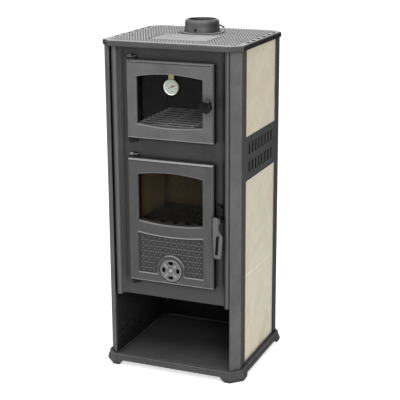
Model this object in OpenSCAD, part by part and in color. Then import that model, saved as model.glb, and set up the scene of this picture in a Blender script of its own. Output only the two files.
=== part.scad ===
// Free-standing wood stove with an oven above the firebox and a log niche below.
// X runs to the right seen from the front, the front looks along -Y, Z points up.
// The origin lies on the floor, under the middle of the body.

/* [Body] */
// Width across the corner posts
body_w = 480; // [460:2:520]
// Depth across the corner posts
body_d = 422; // [412:2:460]
// Leg of the posts' corner chamfer
post_chamfer = 28; // [20:1:32]
// Wall thickness of the cast posts
post_wall = 5; // [4:0.5:6]
// Flat side face of a front post, from its chamfer to the tiles
front_post_side = 41; // [36:1:46]
// Flat side face of a rear post, from its chamfer to the tiles
rear_post_side = 33; // [28:1:40]
// Depth of the lip that turns inwards at a post's front edge
post_lip = 16; // [14:1:18]

/* [Plinth] */
// Height of the plinth's upper rim above the floor
plinth_h = 39; // [36:1:46]
// How far the rim stands out past the posts
plinth_step = 9; // [6:1:12]
// How far the skirt flares below the rim
plinth_flare = 7; // [3:1:9]
// Height of the gap under the skirt between two feet
toe_gap = 19; // [14:1:21]
// Length of a foot along the front, at the floor
foot_w = 58; // [50:1:68]
// Length of a foot along the side, at the floor
foot_d = 58; // [50:1:68]
// Length of the ogee from a foot's inner end up to the skirt
foot_run = 16; // [12:1:24]
// Radius of the rounding along the skirt's lower edge
foot_round = 9; // [6:1:10]
// Wall thickness of the plinth casting
plinth_wall = 7; // [5:1:9]
// Depth of the log niche's floor below the rim
niche_sink = 6; // [4:1:8]

/* [Top plate] */
// How far the top plate's rim stands out past the posts
top_over = 5; // [4:0.5:20]
// Height of the top plate's rim
top_rim = 18; // [14:1:26]
// Thickness of the top plate inside its rim
top_web = 10; // [8:0.5:12]
// Leg of the top plate's corner chamfer
top_chamfer = 32; // [26:1:38]
// Radius of the rounding along the top plate's edges
top_bevel = 4.5; // [2:0.5:6]
// Number of warm-air slots along each side
air_slot_count = 6; // [4:1:6]
// Distance between two warm-air slots
air_slot_pitch = 49.5; // [40:0.5:52]
// Length of a warm-air slot
air_slot_l = 22; // [16:1:26]
// Width of a warm-air slot
air_slot_w = 8; // [5:0.5:9]
// Distance of the warm-air slots' middle lines from the rim's outer edge
air_slot_in = 13.5; // [12:0.5:20]
// Width of the smooth kettle pad
pad_w = 200; // [160:5:240]
// Depth of the smooth kettle pad
pad_d = 137; // [110:1:137]
// Height of the kettle pad above the top plate
pad_h = 1; // [0.6:0.2:2]

/* [Flue collar] */
// Outer radius of the straight spigot that takes the flue pipe
spigot_r = 58.5; // [56:0.5:59.5]
// Length of the straight spigot
spigot_l = 12; // [8:1:16]
// How much larger the collar's radius is at its foot than at the spigot
collar_flare = 3; // [1.5:0.5:6]
// Height of the collar above the top plate
collar_h = 46; // [44:1:56]
// Wall thickness of the collar
collar_wall = 6; // [5:0.5:6]
// Distance of the flue's axis behind the middle of the body
flue_y = 75; // [68:1:78]
// Radius of the smooth ring round the collar
ring_r = 75; // [70:1:82]
// Height of the smooth ring round the collar
ring_h = 4; // [2:0.5:5]
// Radius of the damper's shaft
damper_shaft_r = 4; // [3:0.5:5]
// Height of the damper's shaft above the top plate
damper_h = 14; // [11:1:15]
// Length of the damper's lever
lever_l = 54; // [40:1:70]

/* [Front plate] */
// Distance of the flat front plate behind the posts' front faces
front_inset = 26; // [24:1:30]
// How far the upright beads stand out from the flat front plate
bead_stand = 25; // [20:1:25]
// Thickness of the front plate
plate_th = 8; // [7:1:10]
// Height of the front plate's lower edge above the floor
plate_low = 260; // [240:5:280]
// Radius of the upright half-round bead
bead_r = 10.5; // [8:0.5:11]
// Radius of the hollow beside the bead
cove_r = 13.5; // [10:0.5:14]
// How far a door covers the plate round its opening
door_overlap = 10; // [9:0.5:13]

/* [Doors] */
// Distance of the doors' side edges from the body's sides
door_side = 87; // [84:1:92]
// Height of the fire door's lower edge above the front plate's lower edge
fire_door_rise = 59; // [50:1:80]
// Height of the fire door
fire_door_h = 426; // [410:1:450]
// Distance between the fire door and the oven door
door_space = 66; // [50:1:90]
// Height of the oven door
oven_door_h = 259; // [240:1:290]
// Distance between the oven door and the top plate's rim
door_drop = 42; // [36:1:60]
// How far the oven door's face stands out from the front plate
oven_door_proud = 23; // [22:0.5:24]
// How far the fire door's face stands out from the front plate
fire_door_proud = 26; // [25:0.5:27]
// Gap between a closed door and the front plate
door_gap = 1; // [0.8:0.1:1.4]
// Wall thickness of the cast doors
door_wall = 7; // [6:0.5:8]
// Depth of the bevel round a door's face
door_bevel = 5; // [3:0.5:6]
// Width of the frame beside a window
window_side = 38; // [35:1:48]
// Height of a window's corner above the oven door's lower edge
oven_window_low = 53; // [48:1:60]
// Distance of the windows' upper corners below a door's upper edge
window_drop = 52; // [48:1:60]
// Height of the fire window's lower corners above the door's lower edge
fire_window_low = 216; // [210:1:230]
// Rise of the windows' arched upper edge
arch_high = 11; // [8:0.5:12]
// Sag of the windows' arched lower edge
arch_low = 9; // [7:0.5:12]
// Thickness of the glass panes
glass_th = 4; // [3:0.5:5]
// Thickness of the sheet that lines a door's back
liner_th = 2; // [1.5:0.5:3]

/* [Hinges] */
// Radius of the hinge pins
pin_r = 4; // [3.5:0.5:5]
// How far a hinge pin reaches into its door
pin_reach = 15; // [12:1:20]
// Radius of a door's rounded hinge edge
hinge_edge_r = 12; // [11:0.5:12]
// Distance of the hinge axis in front of the plate
hinge_stand = 13; // [13:0.5:15]
// Height of a hinge lug
lug_h = 11; // [9:1:14]
// Length of a hinge lug's root beside its pin
lug_l = 19; // [16:1:26]

/* [Fire door details] */
// Distance of the ornament panel from the door's side edges
panel_side = 37; // [34:1:48]
// Height of the panel's lower edge above the door's lower edge
panel_low = 33; // [30:1:40]
// Height of the panel's upper corners above the door's lower edge
panel_high = 176; // [165:1:184]
// Sag of the panel's hollow upper edge
panel_sag = 8.5; // [6:0.5:10]
// Depth of the panel's ground below the door's face
panel_sink = 2; // [1:0.5:2.5]
// Width of the raised line round the panel
rim_w = 3; // [2:0.5:4]
// Height of the raised line above the door's face
rim_h = 1.5; // [1:0.5:2]
// Height of the air disc's axis above the door's lower edge
disc_z = 51; // [50:1:56]
// Radius of the air disc
disc_r = 39.5; // [36:0.5:42]
// Thickness of the air disc
disc_th = 5; // [4:0.5:6]
// Depth of the round seat behind the air disc
disc_sink = 3; // [2:0.5:3.5]
// Radius of the arched line round the air disc
arch_ring_r = 50; // [47:1:54]
// Length of an air port along its circle
port_l = 19; // [14:1:20]
// Width of an air port
port_w = 13; // [9:1:14]
// Distance of an air port from the disc's axis
port_at = 25.5; // [23:0.5:27]
// Radius of the screw that the disc turns on
disc_screw_r = 3; // [2.5:0.5:4]

/* [Handle and knob] */
// Distance of the fire handle's pivot from the door's right edge
handle_out = 16; // [13:1:18]
// Height of the handle's pivot above the fire door's lower edge
handle_z = 241; // [220:1:260]
// Thickness of the handle plate
handle_th = 7; // [5:0.5:9]
// Clear distance between the fire door's face and the handle plate
handle_stand = 12; // [10:1:14]
// Radius of the handle's shaft
handle_shaft_r = 5; // [4:0.5:6]
// Length of the handle below its pivot
handle_l = 121; // [105:1:135]
// Height of the oven knob's axis above the oven door's lower edge
knob_z = 128; // [110:1:150]
// Distance of the knob's axis from the door's right edge
knob_in = 19; // [18:1:22]
// Radius of the star knob over its lobes
knob_r = 23; // [18:1:26]
// Depth of the star knob
knob_d = 18; // [14:1:20]
// Clear distance between the oven door's face and the star knob
knob_stand = 14; // [10:1:14]
// Radius of the knob's shaft
knob_shaft_r = 4; // [3.5:0.5:5]

/* [Thermometer] */
// Outer radius of the thermometer
dial_r = 26.5; // [22:0.5:30]
// Height of the thermometer's axis below the top of the oven window
dial_drop = 42; // [36:1:50]
// Width of the thermometer's hanger
hanger_w = 19; // [14:1:24]

/* [Side cladding] */
// Thickness of the ceramic tiles
tile_th = 12; // [10:1:14]
// Distance of the tiles' face behind the posts' side faces
tile_recess = 3; // [2:0.5:4]
// Height of the lower tiles' bottom edge above the plinth's rim
tile_step = 6; // [4:1:8]
// Height of the joint between the lower and the middle tile
tile_joint_z = 355; // [330:5:380]
// Open joint between two tiles
tile_joint = 1.2; // [0.8:0.2:2]
// Height of the vent panel's lower edge
vent_low = 683; // [670:1:700]
// Height of the vent panel's upper edge
vent_high = 828; // [820:1:850]
// Number of slots in one row of the vent panel
vent_count = 8; // [6:1:8]
// Distance between two vent slots
vent_pitch = 31; // [26:1:32]
// Width of a vent slot
vent_w = 21; // [10:1:22]
// Height of a vent slot
vent_h = 38; // [30:1:42]
// Distance between the two rows of vent slots, centre to centre
vent_row_pitch = 61; // [58:1:66]

/* [Inner body] */
// Length of an air slit in the side linings
slit_l = 38; // [20:1:50]
// Width of an air slit in the side linings
slit_w = 5; // [3:0.5:7]
// Distance between two air slits along the depth
slit_pitch = 62; // [56:1:80]
// Distance between two rows of air slits
slit_pitch_z = 29; // [18:1:40]
// Thickness of the welded steel shell
shell_th = 4; // [3:0.5:5]
// Clear width between the shell and the side linings
shell_gap = 12; // [8:1:14]
// Thickness of the side linings and the rear panel
lining_th = 2; // [1.5:0.5:2.5]
// Clear depth between the shell and the rear panel
rear_gap = 23; // [18:1:28]
// Height of the fire floor's upper face above the fire door's lower edge
fire_floor_h = 179; // [170:1:186]
// Thickness of the cast fire floor
fire_floor_th = 10; // [8:1:12]
// Thickness of the fire bricks
brick_th = 30; // [22:1:32]
// Height of the smoke path between the baffle and the oven
smoke_gap = 34; // [28:1:60]
// Thickness of the baffle plate above the fire
baffle_th = 12; // [8:1:14]
// Wall thickness of the oven box
oven_wall = 3; // [2:0.5:4]
// Depth of the smoke path behind the oven
smoke_depth = 40; // [32:1:60]
// Distance between two rods of the oven rack
rod_pitch = 31; // [20:1:36]
// Radius of a rack rod
rod_r = 2.5; // [2:0.5:3]
// Width of the fire grate
grate_w = 180; // [150:5:190]
// Depth of the fire grate
grate_d = 160; // [120:5:170]
// Distance of the fire grate's middle in front of the body's middle
grate_forward = 10; // [0:5:20]
// Height of the log guard's teeth above the fire floor
guard_h = 32; // [28:1:36]
// Distance between two teeth of the log guard
guard_pitch = 46; // [40:1:48]
// Clear width beside the ash pan in the door's opening
ash_side = 23; // [14:1:40]
// Depth of the ash pan
ash_d = 280; // [240:5:290]
// Height of the ash pan
ash_h = 90; // [70:5:110]

/* [Hidden] */
$fn = 64;

// Overlap of cutting bodies past the faces they cut.
cut = 1;
// Radial clearance of a shaft in its bore.
fit = 0.05;
// Clearance between pieces that lie side by side.
clear = 0.3;
// Sides of the large circles that the flat arches belong to.
arch_fn = 720;

half_w = body_w / 2;
half_d = body_d / 2;
plate_y = -half_d + front_inset;
plate_back = plate_y + plate_th;
fire_door_z = plate_low + fire_door_rise;
fire_door_top = fire_door_z + fire_door_h;
oven_door_z = fire_door_top + door_space;
oven_door_top = oven_door_z + oven_door_h;
under_rim = oven_door_top + door_drop;
top_z = under_rim + top_rim;
under_top = top_z - top_web;
door_half = half_w - door_side;
window_half_w = door_half - window_side;
panel_half_w = door_half - panel_side;

// Cladding, from the outside inwards.
tile_x = half_w - tile_recess;
ledge_x = tile_x - tile_th;
tile_front = -half_d + post_chamfer + front_post_side;
tile_rear = half_d - post_chamfer - rear_post_side;
lip_x = half_w - post_chamfer - 2;
lining_x = lip_x + 2;
lining_front = -half_d + post_lip;
rear_y = half_d - post_lip;
shell_x = lining_x - shell_gap;
shell_rear = rear_y - lining_th - rear_gap;

// Front plate.
bead_x = lip_x - 2 - bead_r;
bead_y = plate_y - bead_stand + bead_r;
opening_half_w = door_half - door_overlap;

// Doors.
door_back = plate_y - door_gap;
hinge_x = -door_half + hinge_edge_r;
hinge_y = plate_y - hinge_stand;
oven_face = plate_y - oven_door_proud;
fire_face = plate_y - fire_door_proud;
oven_win = [oven_door_z + oven_window_low, oven_door_top - window_drop];
fire_win = [fire_door_z + fire_window_low, fire_door_top - window_drop];
hinge_bar = 9;
flange_t = 6;
liner_back = door_back + liner_th;
liner_half = opening_half_w - 2.5;
liner_edge = 2.5;
glass_back = liner_back + glass_th;
glass_lap = 8;

// Air control.
disc_axis_z = fire_door_z + disc_z;
disc_back = fire_face + disc_sink - clear;
disc_face = disc_back - disc_th;

// Handle and latch.
handle_x = door_half + handle_out;
handle_pivot_z = fire_door_z + handle_z;
handle_back = fire_face - handle_stand;
handle_face = handle_back - handle_th;
ear_front = fire_face + 2;
ear_back = ear_front + 9;
ear_r = handle_shaft_r + 4.5;
latch_front = ear_back + 0.5;
latch_back = latch_front + 5;
latch_reach = 6.5;
latch_l = 32;
keeper_x = handle_x + latch_reach + 0.7;
keeper_z = handle_pivot_z + latch_l + 2;
keeper_th = 4;
keeper_tongue = 8;
keeper_drop = 17;
keeper_w = 16;
keeper_h = 16;
keeper_arm_h = 10;

// Knob and latch.
knob_x = door_half - knob_in;
knob_axis_z = oven_door_z + knob_z;
knob_back = oven_face - knob_stand;
knob_face = knob_back - knob_d;
cam_front = plate_back + 0.5;
cam_back = cam_front + 4;

// Thermometer.
dial_z = oven_win[1] + arch_high - dial_drop;
case_back = liner_back - 0.2;
case_front = case_back - 7;

// Inner body.
oven_in_half = opening_half_w + 7;
oven_in_low = oven_door_z + door_overlap + 3;
oven_in_high = oven_door_top - door_overlap - 3;
fire_open = [fire_door_z + door_overlap + 3, fire_door_top - door_overlap - 3];
fire_floor_z = fire_door_z + fire_floor_h;
brick_top = oven_in_low - oven_wall - smoke_gap - baffle_th;
oven_depth = shell_rear - shell_th - smoke_depth - plate_back;
ash_w = 2 * (opening_half_w - ash_side);
rack_z = oven_in_low + 22;
slit_in = 25;
slit_up = 39;
grate_half_w = grate_w / 2;
grate_y = [-grate_forward - grate_d / 2, -grate_forward + grate_d / 2];
niche_floor_z = plinth_h - niche_sink;
skirt_rim = 3;
ceiling_z = plate_low + 2;

// Top plate and flue.
air_slot_back = 16.5;
seat_r = spigot_r + collar_flare;
collar_base = top_z + ring_h;
collar_top = top_z + collar_h;
shoulder_r = 12;
spigot_top = collar_top - shoulder_r;
spigot_low = spigot_top - spigot_l;
bore_r = spigot_r - collar_wall;
mouth_r = spigot_r - shoulder_r - 0.5;
neck_r = bore_r + 4.5;
lip_w = 3.5;
lip_h = 1.5;
damper_z = top_z + damper_h;
damper_r = bore_r - 2;

// Colours.
cast_grey = [0.33, 0.33, 0.34];
plate_grey = [0.55, 0.56, 0.57];
dark_grey = [0.16, 0.16, 0.17];
steel_grey = [0.62, 0.62, 0.63];
tile_beige = [0.79, 0.76, 0.67];
brick_sand = [0.80, 0.70, 0.55];
glass_tint = [0.20, 0.22, 0.24, 0.5];

// A box between the two values given for each axis.
module block(x, y, z) {
    translate([x[0], y[0], z[0]]) cube([x[1] - x[0], y[1] - y[0], z[1] - z[0]]);
}

// An outline drawn in X and Z, extruded from its front plane to its back plane.
module upright(front, back) {
    translate([0, back, 0]) rotate([90, 0, 0]) linear_extrude(back - front) children();
}

// An outline drawn in Y and Z, extruded from left to right.
module sideways(left, right) {
    translate([left, 0, 0]) rotate([90, 0, 90]) linear_extrude(right - left) children();
}

// An outline drawn in X and Y, extruded from low to high.
module level(low, high) {
    translate([0, 0, low]) linear_extrude(high - low) children();
}

// A round bar along Y.
module bar_y(r, x, z, front, back) {
    upright(front, back) translate([x, z]) circle(r);
}

// A rectangle between two values for each of its axes.
module plane(u, v) {
    translate([u[0], v[0]]) square([u[1] - u[0], v[1] - v[0]]);
}

// A rectangle with round corners.
module round_plane(u, v, r) {
    plane([u[0] + r, u[1] - r], v);
    plane(u, [v[0] + r, v[1] - r]);
    for (a = [u[0] + r, u[1] - r])
        for (b = [v[0] + r, v[1] - r])
            translate([a, b]) circle(r);
}

// A slot with round ends, along its first axis.
module oval(l, w) {
    square([l - w, w], center = true);
    for (s = [-1, 1])
        translate([s * (l - w) / 2, 0]) circle(w / 2);
}

// A rectangle with cut corners, as eight points that run clockwise.
function cut_corners(x, y, c) = [
    [x - c, y], [x, y - c], [x, c - y], [x - c, -y],
    [c - x, -y], [-x, c - y], [-x, y - c], [c - x, y]
];

// A moulding that follows a rectangle with cut corners: each step is an outward offset and a height.
module moulding(x, y, c, steps) {
    n = 8;
    rings = len(steps);
    corner = 2 - sqrt(2);
    points = [
        for (s = steps)
            for (q = cut_corners(x + s[0], y + s[0], c + s[0] * corner))
                [q[0], q[1], s[1]]
    ];
    bottom = [for (i = [n - 1:-1:0]) i];
    top = [for (i = [0:n - 1]) (rings - 1) * n + i];
    sides = [
        for (k = [0:rings - 2])
            for (i = [0:n - 1])
                [k * n + i, k * n + (i + 1) % n, (k + 1) * n + (i + 1) % n, (k + 1) * n + i]
    ];
    polyhedron(points, concat([bottom, top], sides));
}

// Mirrors its children to the left side when side is -1.
module on_side(side) {
    mirror([side < 0 ? 1 : 0, 0, 0]) children();
}

// Radius of the circle through an arch's ends and its crown.
function arch_r(half, rise) = (half * half + rise * rise) / (2 * rise);

// A window outline with bulging upper and lower edges, larger by grow all round.
module window_outline(z, grow = 0) {
    high_r = arch_r(window_half_w, arch_high);
    low_r = arch_r(window_half_w, arch_low);
    intersection() {
        plane([-window_half_w - grow, window_half_w + grow], [z[0] - 40, z[1] + 40]);
        translate([0, z[1] + arch_high - high_r]) circle(high_r + grow, $fn = arch_fn);
        translate([0, z[0] - arch_low + low_r]) circle(low_r + grow, $fn = arch_fn);
    }
}

// A slot row's positions, centred on zero.
function row(count, pitch) = [for (i = [0:count - 1]) (i - (count - 1) / 2) * pitch];

// Outline of the gap between two feet: straight above, with ogee ends down to the floor.
module toe_outline(half) {
    rise = toe_gap;
    polygon([
        for (s = [-1, 1])
            for (i = [0:6])
                let (t = s < 0 ? i / 6 : 1 - i / 6)
                    [s * (half - foot_run * t * t * (3 - 2 * t)), rise * t],
        [half, -cut], [-half, -cut]
    ]);
}

// How far the skirt stands out past the rim at height h:
// rounded below, widest over it, then an ogee up to the rim.
function skirt_out(h) =
    h < foot_round
        ? plinth_flare - foot_round + sqrt(foot_round * foot_round - (foot_round - h) * (foot_round - h))
        : plinth_flare * (1 + cos(180 * min(1, (h - foot_round) / (plinth_h - skirt_rim - foot_round)))) / 2;

module plinth() {
    x = half_w + plinth_step;
    y = half_d + plinth_step;
    c = post_chamfer + plinth_step * (2 - sqrt(2));
    inset = plinth_wall + foot_round;
    steps = [
        for (i = [0:4]) let (h = foot_round * i * i / 25) [skirt_out(h), h],
        for (i = [0:12]) let (h = foot_round + (plinth_h - foot_round) * i / 12) [skirt_out(h), h]
    ];
    color(cast_grey) difference() {
        union() {
            moulding(x, y, c, steps);
            for (side = [-1, 1])
                on_side(side)
                    block([ledge_x, tile_x + 1], [tile_front, tile_rear],
                          [plinth_h - cut, plinth_h + tile_step]);
        }
        level(-cut, niche_floor_z - plinth_wall + 1)
            polygon(cut_corners(x - inset, y - inset, c));
        block([-lip_x + 4, lip_x - 4], [-half_d + 7, rear_y - 3], [niche_floor_z, plinth_h + cut]);
        upright(-y - 2 * plinth_flare, y + 2 * plinth_flare) toe_outline(x + plinth_flare - foot_w);
        sideways(-x - 2 * plinth_flare, x + 2 * plinth_flare) toe_outline(y + plinth_flare - foot_d);
    }
}

module top_plate() {
    x = half_w + top_over;
    y = half_d + top_over;
    low_r = top_bevel / 2;
    steps = [
        for (a = [0:22.5:90]) [-low_r * (1 - sin(a)), under_rim + low_r * (1 - cos(a))],
        for (a = [0:22.5:90]) [-top_bevel * (1 - cos(a)), top_z - top_bevel * (1 - sin(a))]
    ];
    color(plate_grey) difference() {
        union() {
            moulding(x, y, top_chamfer, steps);
            translate([0, flue_y, top_z]) rotate_extrude() polygon([
                [0, -cut], [ring_r, -cut], [ring_r, ring_h * 0.4], [ring_r - ring_h * 0.7, ring_h], [0, ring_h]
            ]);
            level(top_z - cut, top_z + pad_h)
                plane([-pad_w / 2, pad_w / 2], [flue_y - ring_r - pad_d, flue_y - ring_r - clear]);
        }
        level(under_rim - cut, under_top)
            polygon(cut_corners(half_w + clear, half_d + clear, post_chamfer + clear * (2 - sqrt(2))));
        level(under_top - cut, collar_base + cut) translate([0, flue_y]) circle(neck_r + clear);
        for (side = [-1, 1])
            for (v = row(air_slot_count, air_slot_pitch))
                level(under_top - cut, top_z + cut)
                    translate([side * (x - air_slot_in), v + air_slot_back])
                        rotate(90) oval(air_slot_l, air_slot_w);
    }
}

// Half section of the collar in radius and height.
module collar_section() {
    difference() {
        union() {
            plane([0, neck_r], [under_top - 6, collar_base + cut]);
            polygon([[0, collar_base], [seat_r, collar_base], [spigot_r, spigot_low], [0, spigot_low]]);
            plane([0, spigot_r], [spigot_low - cut, spigot_top]);
            intersection() {
                translate([spigot_r - shoulder_r, spigot_top]) circle(shoulder_r);
                plane([0, spigot_r], [spigot_top - cut, collar_top - lip_h]);
            }
            plane([0, mouth_r + lip_w], [spigot_top, collar_top]);
        }
        plane([-cut, bore_r], [under_top - 6 - cut, spigot_top - 4]);
        plane([-cut, mouth_r], [spigot_top - 5, collar_top + cut]);
        polygon([
            [0, spigot_top - 5], [bore_r, spigot_top - 4.001], [mouth_r, spigot_top + 4], [0, spigot_top + 4]
        ]);
    }
}

module flue_collar() {
    color(cast_grey) difference() {
        translate([0, flue_y, 0]) rotate_extrude() intersection() {
            collar_section();
            plane([0, seat_r + 10], [0, collar_top + cut]);
        }
        bar_y(damper_shaft_r + fit, 0, damper_z, flue_y - seat_r - cut, flue_y + seat_r + cut);
    }
}

module damper_plate() {
    color(dark_grey) difference() {
        union() {
            level(damper_z - 2, damper_z + 2) translate([0, flue_y]) circle(damper_r);
            bar_y(damper_shaft_r + 3, 0, damper_z, flue_y - damper_r + 8, flue_y + damper_r - 8);
        }
        bar_y(damper_shaft_r + fit, 0, damper_z, flue_y - damper_r - cut, flue_y + damper_r + cut);
    }
}

module damper_lever() {
    rear = flue_y + seat_r + 9;
    color(dark_grey) {
        bar_y(damper_shaft_r, 0, damper_z, flue_y - seat_r - 1, rear);
        translate([0, rear - damper_shaft_r, damper_z]) rotate([0, 96, 0]) {
            cylinder(r = damper_shaft_r - 0.5, h = lever_l);
            translate([0, 0, lever_l - 6]) cylinder(r = damper_shaft_r + 1, h = 12);
        }
    }
}

// Section of a corner post in X and Y, for the corner where both are positive.
module post_section(side_face) {
    t = post_wall;
    k = t * (sqrt(2) - 1);
    edge = half_d - post_chamfer - side_face;
    polygon([
        [lip_x, half_d], [lip_x, half_d - t], [half_w - post_chamfer - k, half_d - t],
        [half_w - t, half_d - post_chamfer - k], [half_w - t, edge], [half_w, edge],
        [half_w, half_d - post_chamfer], [half_w - post_chamfer, half_d]
    ]);
    plane([lip_x, lip_x + t - 1], [half_d - post_lip, half_d - 1]);
    plane([ledge_x - t + 1, half_w - 1], [edge, edge + t]);
    plane([ledge_x - t + 1, ledge_x], [edge - 10, edge + 1]);
}

// A corner post: left or right by side, front or rear by end.
module post(side, end) {
    color(cast_grey)
        mirror([side < 0 ? 1 : 0, 0, 0]) mirror([0, end < 0 ? 1 : 0, 0])
            level(plinth_h, under_top) post_section(end < 0 ? front_post_side : rear_post_side);
}

module front_section() {
    plane([-bead_x, bead_x], [plate_y, plate_back]);
    for (s = [-1, 1])
        mirror([s < 0 ? 1 : 0, 0]) {
            plane([bead_x - bead_r, bead_x + bead_r], [bead_y, plate_back]);
            translate([bead_x, bead_y]) circle(bead_r);
            difference() {
                plane([bead_x - bead_r - cove_r, bead_x - bead_r + 0.1], [plate_y - cove_r, plate_y + 0.1]);
                translate([bead_x - bead_r - cove_r, plate_y - cove_r]) circle(cove_r);
            }
        }
}

// A square ring drawn in X and Z round a door's opening.
module seal_outline(z) {
    difference() {
        plane([-opening_half_w - 7, opening_half_w + 7], [z[0] - 7, z[1] + 7]);
        plane([-opening_half_w - 2, opening_half_w + 2], [z[0] - 2, z[1] + 2]);
    }
}

module front_plate() {
    color(cast_grey) difference() {
        level(plate_low, under_top) front_section();
        upright(plate_y - cut, plate_back + cut) {
            plane([-opening_half_w, opening_half_w], [oven_in_low, oven_in_high]);
            plane([-opening_half_w, opening_half_w], fire_open);
        }
        upright(plate_y - cut, plate_y + 3) {
            seal_outline([oven_in_low, oven_in_high]);
            seal_outline(fire_open);
        }
    }
}

module door_seal(z) {
    color([0.75, 0.74, 0.70]) upright(door_back + clear, plate_y + 3) seal_outline(z);
}

// A slab whose outer face has bevelled edges, used for the tiles.
module tile(z) {
    b = 1.2;
    color(tile_beige) intersection() {
        level(z[0], z[1]) polygon([
            [ledge_x, tile_front + clear], [tile_x - b, tile_front + clear], [tile_x, tile_front + clear + b],
            [tile_x, tile_rear - clear - b], [tile_x - b, tile_rear - clear], [ledge_x, tile_rear - clear]
        ]);
        rotate([90, 0, 0]) translate([0, 0, -half_d]) linear_extrude(body_d) polygon([
            [ledge_x - cut, z[0]], [tile_x - b, z[0]], [tile_x, z[0] + b],
            [tile_x, z[1] - b], [tile_x - b, z[1]], [ledge_x - cut, z[1]]
        ]);
    }
}

module side_tile_lower(side) {
    on_side(side) tile([plinth_h + tile_step, tile_joint_z - tile_joint / 2]);
}

module side_tile_middle(side) {
    on_side(side) tile([tile_joint_z + tile_joint / 2, vent_low]);
}

module side_tile_upper(side) {
    on_side(side) tile([vent_high, under_top - clear]);
}

module vent_panel(side) {
    face = half_w - 1;
    wall = 5;
    mid = (tile_front + tile_rear) / 2;
    color(cast_grey) on_side(side) difference() {
        block([ledge_x, face], [tile_front + clear, tile_rear - clear], [vent_low, vent_high]);
        block([ledge_x - cut, face - wall], [tile_front + clear - cut, tile_rear + cut],
              [vent_low + 4, vent_high - 4]);
        for (z = row(2, vent_row_pitch))
            for (v = row(vent_count, vent_pitch))
                block([face - wall - cut, face + cut], [mid + v - vent_w / 2, mid + v + vent_w / 2],
                      [(vent_low + vent_high) / 2 + z - vent_h / 2, (vent_low + vent_high) / 2 + z + vent_h / 2]);
    }
}

// Side lining: a sheet with a flange that the rear panel is screwed to, and air slits near the niche's floor.
module side_lining(side) {
    color(dark_grey) on_side(side) difference() {
        level(plinth_h, under_top) {
            plane([lining_x - lining_th, lining_x], [lining_front, rear_y - lining_th]);
            plane([lining_x - 24, lining_x], [rear_y - 2 * lining_th, rear_y - lining_th]);
        }
        for (z = [0, 1])
            for (v = [0, 1, 2])
                translate([lining_x, lining_front + slit_in + slit_pitch * v, plinth_h + slit_up + slit_pitch_z * z])
                    translate([-lining_th - cut, 0, 0]) cube([lining_th + 2 * cut, slit_l, slit_w]);
        rear_screw_places() rear_bore();
    }
}

module niche_ceiling() {
    color(dark_grey) block([-lining_x + lining_th, lining_x - lining_th], [plate_back, rear_y - 2 * lining_th],
                           [ceiling_z - lining_th, ceiling_z]);
}

// Places of the screws that hold the rear panel, right side only where mirrored by on_side.
module rear_screw_places() {
    for (z = [plinth_h + 60, (plinth_h + under_top) / 2, under_top - 60])
        translate([lining_x - 14, rear_y, z]) children();
}

module rear_bore() {
    rotate([90, 0, 0]) cylinder(r = 2.6, h = 20, center = true);
}

module rear_panel() {
    color(dark_grey) difference() {
        block([-lining_x, lining_x], [rear_y - lining_th, rear_y], [plinth_h, under_top]);
        for (side = [-1, 1])
            on_side(side) rear_screw_places() rear_bore();
        for (z = [plate_low + 40, under_top - 80])
            for (i = [0:4])
                for (u = row(3, (body_w - 150) / 3))
                    upright(rear_y - lining_th - cut, rear_y + cut)
                        translate([u, z + 12 * i]) oval(80, 5);
    }
}

module rear_screws() {
    color(steel_grey) for (side = [-1, 1])
        on_side(side) rear_screw_places() rotate([90, 0, 0]) {
            translate([0, 0, -2.5]) cylinder(r = 5, h = 2.5);
            cylinder(r = 2.5, h = 2 * lining_th + 2);
        }
}

module body_shell() {
    low = fire_open[0];
    color(dark_grey) difference() {
        block([-shell_x, shell_x], [plate_back, shell_rear], [low - shell_th, under_top]);
        block([-shell_x + shell_th, shell_x - shell_th], [plate_back - cut, shell_rear - shell_th],
              [low, under_top + cut]);
    }
}

module oven_box() {
    color(dark_grey) {
        difference() {
            block([-oven_in_half - oven_wall, oven_in_half + oven_wall], [plate_back, plate_back + oven_depth],
                  [oven_in_low - oven_wall, oven_in_high + oven_wall]);
            block([-oven_in_half, oven_in_half], [plate_back - cut, plate_back + oven_depth - oven_wall],
                  [oven_in_low, oven_in_high]);
        }
        for (side = [-1, 1])
            on_side(side) block([oven_in_half - 9, oven_in_half + 1], [plate_back + 12, plate_back + oven_depth - oven_wall],
                                [rack_z - 3, rack_z]);
    }
}

module oven_rack() {
    half = oven_in_half - 4;
    front = plate_back + 14;
    back = plate_back + oven_depth - oven_wall - 4;
    rods = floor((back - front - 8) / rod_pitch);
    color(steel_grey) {
        for (u = [-half + 3, -half / 3, half / 3, half - 3])
            block([u - 3, u + 3], [front, back], [rack_z, rack_z + 4]);
        for (i = [0:rods])
            translate([-half, front + 5 + i * (back - front - 10) / rods, rack_z + 3 + rod_r])
                rotate([0, 90, 0]) cylinder(r = rod_r, h = 2 * half);
    }
}

module baffle_plate() {
    color(brick_sand) block([-shell_x + shell_th, shell_x - shell_th], [plate_back + 76, shell_rear - shell_th],
                            [brick_top, brick_top + baffle_th]);
}

module fire_floor() {
    low = fire_floor_z - fire_floor_th;
    color(dark_grey) difference() {
        block([-shell_x + shell_th, shell_x - shell_th], [plate_back, shell_rear - shell_th],
              [low, fire_floor_z]);
        block([-grate_half_w, grate_half_w], grate_y, [low + 4, fire_floor_z + cut]);
        block([-grate_half_w + 8, grate_half_w - 8], [grate_y[0] + 8, grate_y[1] - 8],
              [low - cut, fire_floor_z]);
    }
}

module fire_grate() {
    low = fire_floor_z - fire_floor_th + 4;
    color(dark_grey) difference() {
        block([-grate_half_w + 1, grate_half_w - 1], [grate_y[0] + 1, grate_y[1] - 1], [low, fire_floor_z + 3]);
        for (u = row(8, 20))
            block([u - 5, u + 5], [grate_y[0] + 14, grate_y[1] - 14], [low - cut, fire_floor_z + 4]);
    }
}

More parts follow.
